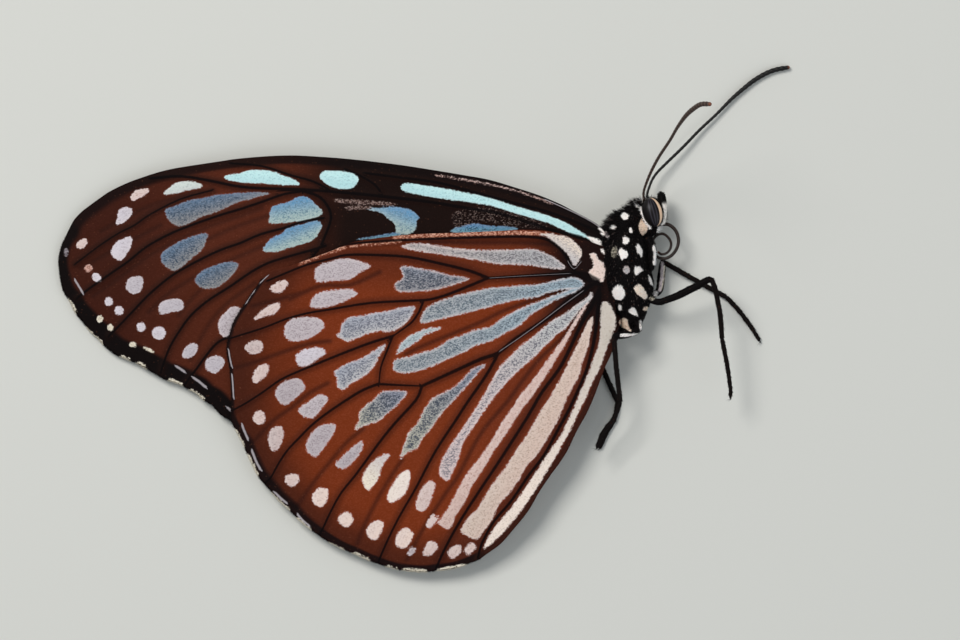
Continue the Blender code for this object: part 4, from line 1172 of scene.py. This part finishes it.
def hair_tones(roots, dark, share_pale=0.0):
    """Hair colours: the mark's own colour on a mark, and dark elsewhere, each a little varied."""
    depth, over = marks_over(roots[:, :2], *BODY)[:2]
    pale = (depth > 0.02) | (rng.uniform(size=len(roots)) < share_pale)
    over = np.where(depth[:, None] > -0.02, over, linear(110, 98, 94))
    tones = np.where(pale[:, None], over, linear(*dark))
    return np.clip(tones * rng.uniform(1.0, 1.5, (len(roots), 1)), 0, 1)


def shorter_on_marks(roots):
    """1 away from the marks and 0.4 on them, where the scales lie flat."""
    depth = marks_over(roots[:, :2], *BODY)[0]
    return 1 - 0.6 * ramp(depth, -0.03, 0.05)


def row_ramp(points, start, finish):
    """0 below the grid's row start and 1 above its row finish."""
    return ramp(points[..., 1], to_mm((0, start))[1], to_mm((0, finish))[1])


HAIR, hair_tree, hair_shader = new_material("hair", 0.6, 0.12)
hair_tree.links.new(named(hair_tree, "tone", "Color"), hair_shader["Base Color"])
print("hairs on each part:", HAIRS)

# %% [markdown]
# ## Thorax and abdomen
# The thorax is black with white spots and a coat of short hairs, longer on the back. Its flank is flat where
# it lies. The abdomen lies between the hindwings: seven rings, each a swelling between two creases.

# %% Build the thorax, its coat and the abdomen
THORAX_LINE = ((650, 201), (643.2, 212.2), (636.4, 220.3), (626.4, 232.2), (624, 250), (625, 270),
               (629, 292), (631.5, 311), (630, 328), (629, 336))
THORAX_DEPTHS = (0.93, 1.23, 1.53, 2.02, 2.04, 2.17, 2.17, 1.66, 0.95, 0.45)
THORAX_HEIGHTS = (0.70, 0.95, 1.60, 2.20, 2.50, 2.55, 2.45, 1.75, 1.05, 0.50)
BLACK = (13, 10, 11)
HAIR_BLACK = (17, 14, 15)


def lumpy(rings, size, amount):
    """Moves each point in or out by amount times the mean of three waves, which makes soft plates."""
    centre = rings.mean(axis=1, keepdims=True)
    outward = rings - centre
    outward /= np.linalg.norm(outward, axis=2)[..., None]
    wave = (np.sin(rings[..., 0] / size + 1.3) * np.sin(rings[..., 1] / size * 1.3)
            + np.sin(rings[..., 1] / size * 0.7 + rings[..., 2] / size) + np.sin(rings[..., 0] / size * 1.9)) / 3
    return rings + outward * (amount * wave)[..., None]


THORAX_STATIONS = 90
thorax_spine = path([(x, y, MIDDLE) for x, y in THORAX_LINE], THORAX_STATIONS)
thorax_ends = rounded(THORAX_STATIONS, 0.06)
thorax_rings = rings_of(thorax_spine, spread(THORAX_DEPTHS, THORAX_STATIONS) * thorax_ends,
                        spread(THORAX_HEIGHTS, THORAX_STATIONS) * thorax_ends, 84)
thorax_rings = lumpy(thorax_rings, 0.55, 0.07)
build_tube("fine_thorax", thorax_rings, BODY_SKIN, "black_scales", ["thorax"], BLACK)
roots, normals, along = roots_on(thorax_rings, HAIRS["thorax"])
# Hairs are long and upright on the back, short and nearly flat on the flanks
dorsal = ramp(-normals[:, 0], 0.0, 0.7) * row_ramp(roots, 250, 225)
lengths = (0.20 + 0.44 * dorsal) * rng.uniform(0.6, 1.25, len(roots)) * shorter_on_marks(roots)
lie = 1.3 - 0.9 * dorsal
directions = normals + along * lie[:, None] + rng.normal(0, 0.25, roots.shape)
spikes("thorax_coat", roots, directions, lengths, 0.045, hair_tones(roots, HAIR_BLACK, 0.03))

ABDOMEN_STATIONS = 150
ABDOMEN_START, ABDOMEN_END = np.array((617, 312)), np.array((517, 487))
along_abdomen = np.linspace(0, 1, ABDOMEN_STATIONS)
abdomen_mm = to_mm(ABDOMEN_START + along_abdomen[:, None] * (ABDOMEN_END - ABDOMEN_START))
abdomen_spine = np.column_stack([abdomen_mm, middle_height(abdomen_mm)])
crease = 0.94 + 0.06 * np.abs(np.sin(np.pi * 7 * along_abdomen)) ** 0.5
abdomen_radius = 1.06 * np.sin(np.pi * (0.18 + 0.76 * along_abdomen)) ** 0.55 * crease
abdomen_radius = abdomen_radius * rounded(ABDOMEN_STATIONS, 0.04)
abdomen_rings = rings_of(abdomen_spine, abdomen_radius, abdomen_radius, 40)
build_tube("fine_abdomen", abdomen_rings, BODY_SKIN, "black_scales", ["abdomen"], (44, 24, 19))
roots, normals, along = roots_on(abdomen_rings, HAIRS["abdomen"])
spikes("abdomen_coat", roots, normals * 0.4 + along, 0.3 * rng.uniform(0.6, 1.2, len(roots)), 0.035,
       one_tone(roots, (36, 24, 22)))
print("thorax stations:", THORAX_STATIONS, " abdomen stations:", ABDOMEN_STATIONS)

# %% [markdown]
# ## Head, eyes and palps
# The eyes are tall domes with thin pale lines from pole to pole and a cream band along the rim. A tube's ring
# angle runs round the eye, so a line from pole to pole is a bump of that angle: exp(-(angle - place) squared
# over width squared), and the band is where the angle lies between two limits. The palps are black at the tip
# and behind, and white elsewhere.

# %% Build the head
HEAD_STATIONS = 48
HEAD_LINE = ((656.3, 234), (651.5, 228.5), (649, 222), (650, 214.5), (653.5, 206), (656, 200))
HEAD_DEPTHS = (0.66, 0.98, 1.25, 1.38, 1.15, 0.55)
HEAD_HEIGHTS = (0.60, 0.95, 1.20, 1.32, 1.10, 0.50)
head_spine = path([(x, y, MIDDLE) for x, y in HEAD_LINE], HEAD_STATIONS)
head_ends = rounded(HEAD_STATIONS, 0.06)
head_rings = rings_of(head_spine, spread(HEAD_DEPTHS, HEAD_STATIONS) * head_ends,
                      spread(HEAD_HEIGHTS, HEAD_STATIONS) * head_ends, 56)
build_tube("fine_head", head_rings, BODY_SKIN, "black_scales", ["head"], BLACK)
roots, normals, along = roots_on(head_rings, HAIRS["head"])
# Longer hairs make a crest on top of the head
crest = ramp(normals[:, 1], 0.1, 0.8) * ramp(-normals[:, 0], -0.3, 0.3)
lengths = (0.28 + 0.28 * crest) * rng.uniform(0.5, 1.3, len(roots))
spikes("head_coat", roots, normals + rng.normal(0, 0.35, roots.shape), lengths, 0.04,
       hair_tones(roots, HAIR_BLACK, 0.02))

EYE, eye_tree, eye_shader = new_material("striped eye", 0.4, 0.2)
lines = named(eye_tree, "lines")
eye_colour = mixed(eye_tree, maths(eye_tree, "MULTIPLY", lines, 0.5), rgba(15, 10, 11), rgba(80, 76, 88))
rim = slope(eye_tree, named(eye_tree, "rim"), 0.40, 0.60)
eye_tree.links.new(mixed(eye_tree, rim, eye_colour, rgba(240, 204, 172)), eye_shader["Base Color"])
facets = use_group(eye_tree, SCALE_CELLS, {"Size": 0.03, "Stretch": 1.0})
eye_bump = add_node(eye_tree, "ShaderNodeBump", {"Strength": 0.25, "Distance": 0.00001,
                                                 "Height": facets["Height"]})
eye_tree.links.new(eye_bump.outputs[0], eye_shader["Normal"])

EYE_STATIONS, EYE_SIDES, EYE_HALF_WIDTH, EYE_HALF_LENGTH, EYE_HALF_DOME = 41, 96, 0.88, 1.28, 0.80
EYE_CENTRE, EYE_OUT, EYE_LEAN = (652.0, 212.5), 0.98, math.radians(14)
EYE_LINES, EYE_LINE_WIDTH = (66, 84, 103), 3.4
PALP_LINE = ((655, 222, 0.35), (661.6, 223, 0.55), (663.8, 214, 0.55), (662.7, 204, 0.55), (660.6, 192.5, 0.55))
PALP_POINTS = 50
PALP_WHITE, PALP_BLACK = linear(255, 250, 244), linear(14, 11, 11)
for side_name, side in SIDES:
    pole = np.linspace(0.02, np.pi - 0.02, EYE_STATIONS)
    axis = np.array((math.sin(EYE_LEAN), -math.cos(EYE_LEAN), 0.0))
    centre = np.array((*to_mm(EYE_CENTRE), MIDDLE + side * EYE_OUT))
    eye_spine = centre - np.cos(pole)[:, None] * axis * EYE_HALF_LENGTH
    eye_rings = rings_of(eye_spine, EYE_HALF_WIDTH * np.sin(pole), EYE_HALF_DOME * np.sin(pole), EYE_SIDES)
    eye = build_tube("fine_" + side_name + "_eye", eye_rings, EYE, "eye", [side_name + "_eye"])
    angle = (np.arange(EYE_SIDES) + 0.5) * 2 * np.pi / EYE_SIDES
    angle = np.degrees(np.minimum(angle, 2 * np.pi - angle))
    stripe = sum(np.exp(-((angle - middle) / EYE_LINE_WIDTH) ** 2) for middle in EYE_LINES)
    band = ramp(angle, 16, 21) * (1 - ramp(angle, 42, 53))
    put_value(eye, "lines", np.append(np.tile(stripe, EYE_STATIONS), (0, 0)))
    put_value(eye, "rim", np.append(np.tile(band, EYE_STATIONS), (0, 0)))
    palp_spine = path([(x, y, MIDDLE + side * out) for x, y, out in PALP_LINE], PALP_POINTS)
    palp_width = spread((0.16, 0.20, 0.20, 0.30, 0.27), PALP_POINTS) * rounded(PALP_POINTS, 0.08)
    palp_rings = rings_of(palp_spine, palp_width, palp_width, 24)
    palp = build_tube("fine_" + side_name + "_palp", palp_rings, HAIR, "black_scales", [side_name + "_palp"])
    away = (palp_rings - palp_spine[:, None])[..., 0] / palp_width[:, None]
    tip = row_ramp(palp_rings, 206, 202)
    dark = np.append(np.maximum(tip, ramp(-away, -0.05, 0.35)).ravel(), (1, 1))[:, None]
    put_colour(palp, "tone", PALP_WHITE + dark * (PALP_BLACK - PALP_WHITE))
    roots, normals, along = roots_on(palp_rings, HAIRS["palp"])
    tip = row_ramp(roots, 206, 202)[:, None]
    behind = ramp(-normals[:, 0], -0.05, 0.35)[:, None]
    tones = (1 - tip) * PALP_WHITE + tip * PALP_BLACK
    spikes(side_name + "_palp_coat", roots, normals * 0.5 + along, 0.2 * rng.uniform(0.5, 1.2, len(roots)), 0.04,
           tones + behind * (PALP_BLACK - tones))
print("eye stations:", EYE_STATIONS, " sides:", EYE_SIDES)

# %% [markdown]
# ## Feelers and tongue
# An antenna is a chain of short rings, so its radius rises and falls 40 times, and its end swells into a
# slender club. The tongue is a coiled tube of dark horn with the same kind of fine ribs.

# %% Build the feelers and the tongue


def horn_material(name, dark, light, roughness):
    """Horn: dark rings and lighter ones by a ring attribute, and a red brown tip."""
    material, tree, shader = new_material(name, roughness, 0.25)
    colour = mixed(tree, named(tree, "ring"), rgba(*dark), rgba(*light))
    tree.links.new(mixed(tree, named(tree, "tip"), colour, rgba(122, 72, 52)), shader["Base Color"])
    return material


def ribbed(node, spine, radii, ribs, depth, material, sides=12):
    """A tube whose radius rises and falls with its ribs, which also drive the ring colour."""
    count = len(spine)
    wave = np.sin(np.pi * ribs * np.linspace(0, 1, count)) ** 2
    width = radii * (1 - depth * (1 - wave)) * rounded(count, 0.01)
    piece = build_tube("fine_" + node, rings_of(spine, width, width, sides), material, "horn", [node])
    put_value(piece, "ring", np.append(np.repeat(wave, sides), (0, 0)))
    tip = ramp(np.linspace(0, 1, count), 0.985, 0.998)
    put_value(piece, "tip", np.append(np.repeat(tip, sides), (0, 1)))
    return piece


ANTENNAE = {
    "right": ((644, 205, 2.7), (643.3, 193.2, 3.3), (645.7, 183.9, 4.2), (650.8, 171.2, 5.4), (657.9, 157.6, 7.0),
              (667.9, 142.1, 9.2), (674.8, 129.8, 11.0), (682.8, 118.7, 12.8), (690.8, 111.8, 14.3),
              (696.8, 108.9, 15.3), (705.5, 109.3, 16.5)),
    "left": ((647, 205, 1.7), (647.4, 194.2, 1.5), (649.6, 186.6, 1.4), (652.8, 179, 1.3), (658.2, 171.5, 1.15),
             (668, 161.7, 1.0), (684.2, 146, 0.8), (700.5, 129.2, 0.6), (716.8, 114, 0.47), (733, 97.7, 0.38),
             (745, 87.4, 0.33), (754.7, 79.8, 0.3), (765.6, 73.3, 0.28), (776.4, 69, 0.27), (791, 66.3, 0.27)),
}
ANTENNA_HORN = {"right": horn_material("grey brown horn", (44, 34, 30), (84, 66, 58), 0.5),
                "left": horn_material("black horn", (6, 5, 5), (20, 16, 15), 0.5)}
ANTENNA_POINTS, ANTENNA_RINGS = 420, 40
TONGUE_POINTS, TONGUE_RIBS = 700, 110
for side_name, route in ANTENNAE.items():
    along = np.linspace(0, 1, ANTENNA_POINTS)
    radii = 0.115 + 0.03 * ramp(along, 0, 0.3) + 0.08 * ramp(along, 0.55, 0.85) - 0.05 * ramp(along, 0.96, 1.0)
    ribbed(side_name + "_antenna", path(route, ANTENNA_POINTS), radii, ANTENNA_RINGS, 0.14,
           ANTENNA_HORN[side_name])

TONGUE_LINE = ((653.5, 216.5), (656.5, 221.5), (661, 224.3), (667.7, 224.4), (673.5, 228), (677.3, 234),
               (678.5, 241.5), (676.5, 249), (672, 255), (666, 258.3), (659.5, 258), (654, 254),
               (651.8, 247), (653, 240), (657, 235.3), (662.5, 233.8), (667.3, 236.5), (670.8, 242),
               (670.4, 248.4), (666.6, 253), (661.5, 254.2), (657.6, 251.6))
tongue = path([(x, y, MIDDLE) for x, y in TONGUE_LINE], TONGUE_POINTS)
ribbed("proboscis", tongue, np.linspace(0.175, 0.11, TONGUE_POINTS), TONGUE_RIBS, 0.07,
       horn_material("brown horn", (18, 12, 10), (52, 36, 29), 0.30))
print("antenna rings:", ANTENNA_RINGS, " tongue ribs:", TONGUE_RIBS)

# %% [markdown]
# ## Legs
# Each leg has a thigh, a shin and a foot of five joints, which ends in two claws. Stiff spines stand at random
# places along the thigh, the shin and the foot and lean towards the tip.

# %% Build the legs
LEGS = {
    "right_midleg": (((648, 299, 3.05), (658.2, 302, 3.35), (668.7, 299, 3.6), (678.3, 295.2, 3.85),
                      (687.8, 290.4, 4.1), (697.4, 285.6, 4.35), (705, 281, 4.55), (710, 279.2, 4.6)),
                     ((710, 279.2, 4.6), (713.7, 287, 4.58), (716.8, 301, 4.45), (719.5, 316.2, 4.3),
                      (721.3, 339, 4.1)),
                     ((721.3, 339, 4.1), (723.7, 350.7, 3.95), (726.6, 365, 3.7), (728.5, 377.5, 3.5),
                      (730, 389, 3.3), (730.2, 396.5, 3.15))),
    "left_midleg": (((648, 297, 1.55), (659, 291, 1.25), (661.5, 277, 0.95), (663.3, 261.5, 0.7)),
                    ((663.3, 261.5, 0.7), (695, 279.5, 0.5), (727, 297, 0.32)),
                    ((727, 297, 0.32), (740, 311, 0.27), (752, 327, 0.24), (760, 340, 0.2))),
    "right_hindleg": (((636, 322, 3.0), (638, 329, 3.35), (627, 334, 3.75), (613.5, 336, 4.0)),
                      ((613.5, 336, 4.0), (616, 368, 3.9), (620, 402, 3.5)),
                      ((620, 402, 3.5), (613, 419, 3.2), (603, 432, 2.9), (597, 447, 2.6))),
    "left_hindleg": (((630, 322, 1.5), (622, 330, 0.6), (613, 341, 0.36), (600, 362, 0.36)),
                     ((600, 362, 0.36), (608, 380, 0.34), (618, 402, 0.3)),
                     ((618, 402, 0.3), (615, 419, 0.26), (607, 433, 0.24), (600.5, 448, 0.2))),
}
SEGMENTS = {"femur": (0.27, 0.30, 0.33, 0.33, 0.28), "tibia": (0.22, 0.22, 0.21),
            "tarsus": (0.21, 0.20, 0.19, 0.16)}
FORELEG_LINE = ((645, 237, 0.9), (650.2, 243, 0.9), (651.8, 254, 0.9), (651.2, 265, 0.9), (649.5, 271.5, 0.8))
LEG_POINTS = 72
CLAW_LENGTHS = np.array([0.50, 0.36])
# Number, length in mm and outward lean of the spines on a segment
LEG_SPINES = {"femur": (260, 0.12, 0.45), "tibia": (200, 0.2, 0.45), "tarsus": (200, 0.2, 0.45)}


def spines_on(rings, count, length, outward):
    """Spines at random places along a tube: roots, directions and lengths."""
    roots, normals, along = roots_on(rings, count)
    return roots, normals * outward + along, length * rng.uniform(0.6, 1.2, count)


for leg, segments in LEGS.items():
    gathered = []
    for (segment, radii), points in zip(SEGMENTS.items(), segments):
        width = spread(radii, LEG_POINTS) * rounded(LEG_POINTS, 0.02)
        if segment == "tarsus":
            # Five joints, each a little wider towards its end
            width *= 0.92 + 0.12 * np.mod(np.linspace(0, 4.999, LEG_POINTS), 1) ** 1.5
        line = path(points, LEG_POINTS)
        # A segment's ends reach a little into its neighbours, so that no gap shows
        line = np.vstack([2 * line[0] - line[3], line[1:-1], 2 * line[-1] - line[-4]])
        rings = rings_of(line, width, width, 16)
        ground = BLACK if segment == "femur" else (20, 15, 14)
        build_tube("fine_" + leg + "_" + segment, rings, BODY_SKIN, "black_scales", [leg + "_" + segment], ground)
        gathered.append(spines_on(rings, *LEG_SPINES[segment]))
    tip, before = rings[-1].mean(axis=0), rings[-8].mean(axis=0)
    forward = (tip - before) / np.linalg.norm(tip - before)
    aside = np.cross(forward, (0, 0, 1))
    claws = np.array([forward * 0.3 + aside, forward * 0.8 + aside * 0.7])
    gathered.append((np.array([tip, tip]), claws, CLAW_LENGTHS))
    roots, directions, lengths = (np.concatenate(parts) for parts in zip(*gathered))
    spikes(leg + "_spines", roots, directions, lengths, 0.035, one_tone(roots, (26, 20, 19)))

for side_name, side in SIDES:
    line = [(x, y, MIDDLE + side * out) for x, y, out in FORELEG_LINE]
    width = spread((0.24, 0.33, 0.36, 0.32, 0.16), LEG_POINTS) * rounded(LEG_POINTS, 0.08)
    rings = rings_of(path(line, LEG_POINTS), width, width, 20)
    build_tube("fine_" + side_name + "_foreleg", rings, BODY_SKIN, "black_scales", [side_name + "_foreleg"], BLACK)
    roots, normals, along = roots_on(rings, HAIRS["foreleg"])
    spikes(side_name + "_foreleg_coat", roots, normals * 0.6 + along, 0.22 * rng.uniform(0.5, 1.2, len(roots)),
           0.04, hair_tones(roots, HAIR_BLACK))
print("legs:", ", ".join(LEGS), "and two forelegs")

# %% [markdown]
# ## Fringes
# Fine scales stand out past each wing's outer edge. They are black, and white beside the white dashes.

# %% Build the fringes
FRINGE_SCALES = {"forewing": 1300, "hindwing": 1900}


def build_fringe(side_name, side, kind):
    """Flat spikes along the margin: each points outward, square to the edge, with a little scatter."""
    outline, strokes, count = WING_KINDS[kind]["edges"][1], WING_KINDS[kind]["marks"][2], FRINGE_SCALES[kind]
    edge = even(to_mm(smooth(outline, 8)), count)
    run = np.gradient(edge, axis=0)
    run /= np.linalg.norm(run, axis=1)[:, None]
    outward = np.column_stack([run[:, 1], -run[:, 0]])
    middle = to_mm(outline).mean(axis=0)
    outward *= np.sign(np.sum(outward * (edge - middle), axis=1).mean())
    white = np.min([line_distance(edge, to_mm(line)) for tint, half, line in strokes if tint == "bone"], axis=0)
    tones = np.where((white < 0.25)[:, None], linear(228, 218, 198), linear(20, 14, 13))
    tones = tones * rng.uniform(0.7, 1.1, (count, 1))
    height = wing_height(edge, side, WING_KINDS[kind]["offset"])
    roots = np.column_stack([edge - outward * 0.08, height + rng.uniform(-0.04, 0.04, count)])
    scatter = outward + rng.normal(0, 0.18, edge.shape)
    directions = np.column_stack([scatter, rng.normal(0, 0.08, count)])
    return spikes("fringe_" + side_name + "_" + kind, roots, directions, 0.20 * rng.uniform(0.6, 1.2, count), 0.06,
                  tones, kind, sway=0.1)


for side_name, side in SIDES:
    for kind in WING_KINDS:
        build_fringe(side_name, side, kind)
print("fringe scales on each side:", sum(FRINGE_SCALES.values()))

# %% [markdown]
# ## Light, floor and camera
# A large soft lamp stands at the upper left, a wide weak one opposite, and the world is a pale grey. The
# camera looks straight down at the specimen. Lens = sensor width times distance over the width in view.

# %% Stage and camera
FLOOR_HALF = 0.5
FLOOR_DROP = 0.02
floor = mesh_object("pale_floor", np.array([(-1, -1, 0), (1, -1, 0), (1, 1, 0), (-1, 1, 0)]) * FLOOR_HALF,
                    [(0, 1, 2, 3)])
floor_material, floor_tree, floor_shader = new_material("pale card", 0.8, 0.2)
floor_shader["Base Color"].default_value = rgba(214, 214, 208)
floor.data.materials.append(floor_material)
floor.location.z = -FLOOR_DROP * MM


def soft_lamp(name, place, width, watts, colour):
    """A square lamp that faces the specimen."""
    lamp = bpy.data.lights.new(name, "AREA")
    lamp.size = width
    lamp.energy = watts
    lamp.color = colour
    made = bpy.data.objects.new(name, lamp)
    made.location = place
    bpy.context.scene.collection.objects.link(made)
    made.rotation_euler = made.location.to_track_quat("Z", "Y").to_euler()
    return made


soft_lamp("key lamp", (-0.22, 0.26, 0.46), 0.22, 2.3, (1.0, 0.98, 0.95))
soft_lamp("fill lamp", (0.34, -0.22, 0.36), 0.50, 0.7, (0.92, 0.96, 1.0))
world = bpy.data.worlds.new("pale room")
world.use_nodes = True
world.node_tree.nodes["Background"].inputs["Color"].default_value = (0.80, 0.86, 0.92, 1)
world.node_tree.nodes["Background"].inputs["Strength"].default_value = 0.35
bpy.context.scene.world = world
bpy.context.scene.view_settings.view_transform = "Standard"

CAMERA_HEIGHT = 0.6
VIEW_WIDTH = 0.08345
VIEW_CENTRE_MM = (4.834, -0.165)
SENSOR = 36.0
camera = bpy.data.objects.new("camera", bpy.data.cameras.new("camera"))
camera.data.sensor_width = SENSOR
camera.data.lens = SENSOR * (CAMERA_HEIGHT - MIDDLE * MM) / VIEW_WIDTH
camera.data.clip_start = 0.01
camera.location = (VIEW_CENTRE_MM[0] * MM, VIEW_CENTRE_MM[1] * MM, CAMERA_HEIGHT)
bpy.context.scene.collection.objects.link(camera)
bpy.context.scene.camera = camera
print("lens in mm:", round(camera.data.lens, 2))
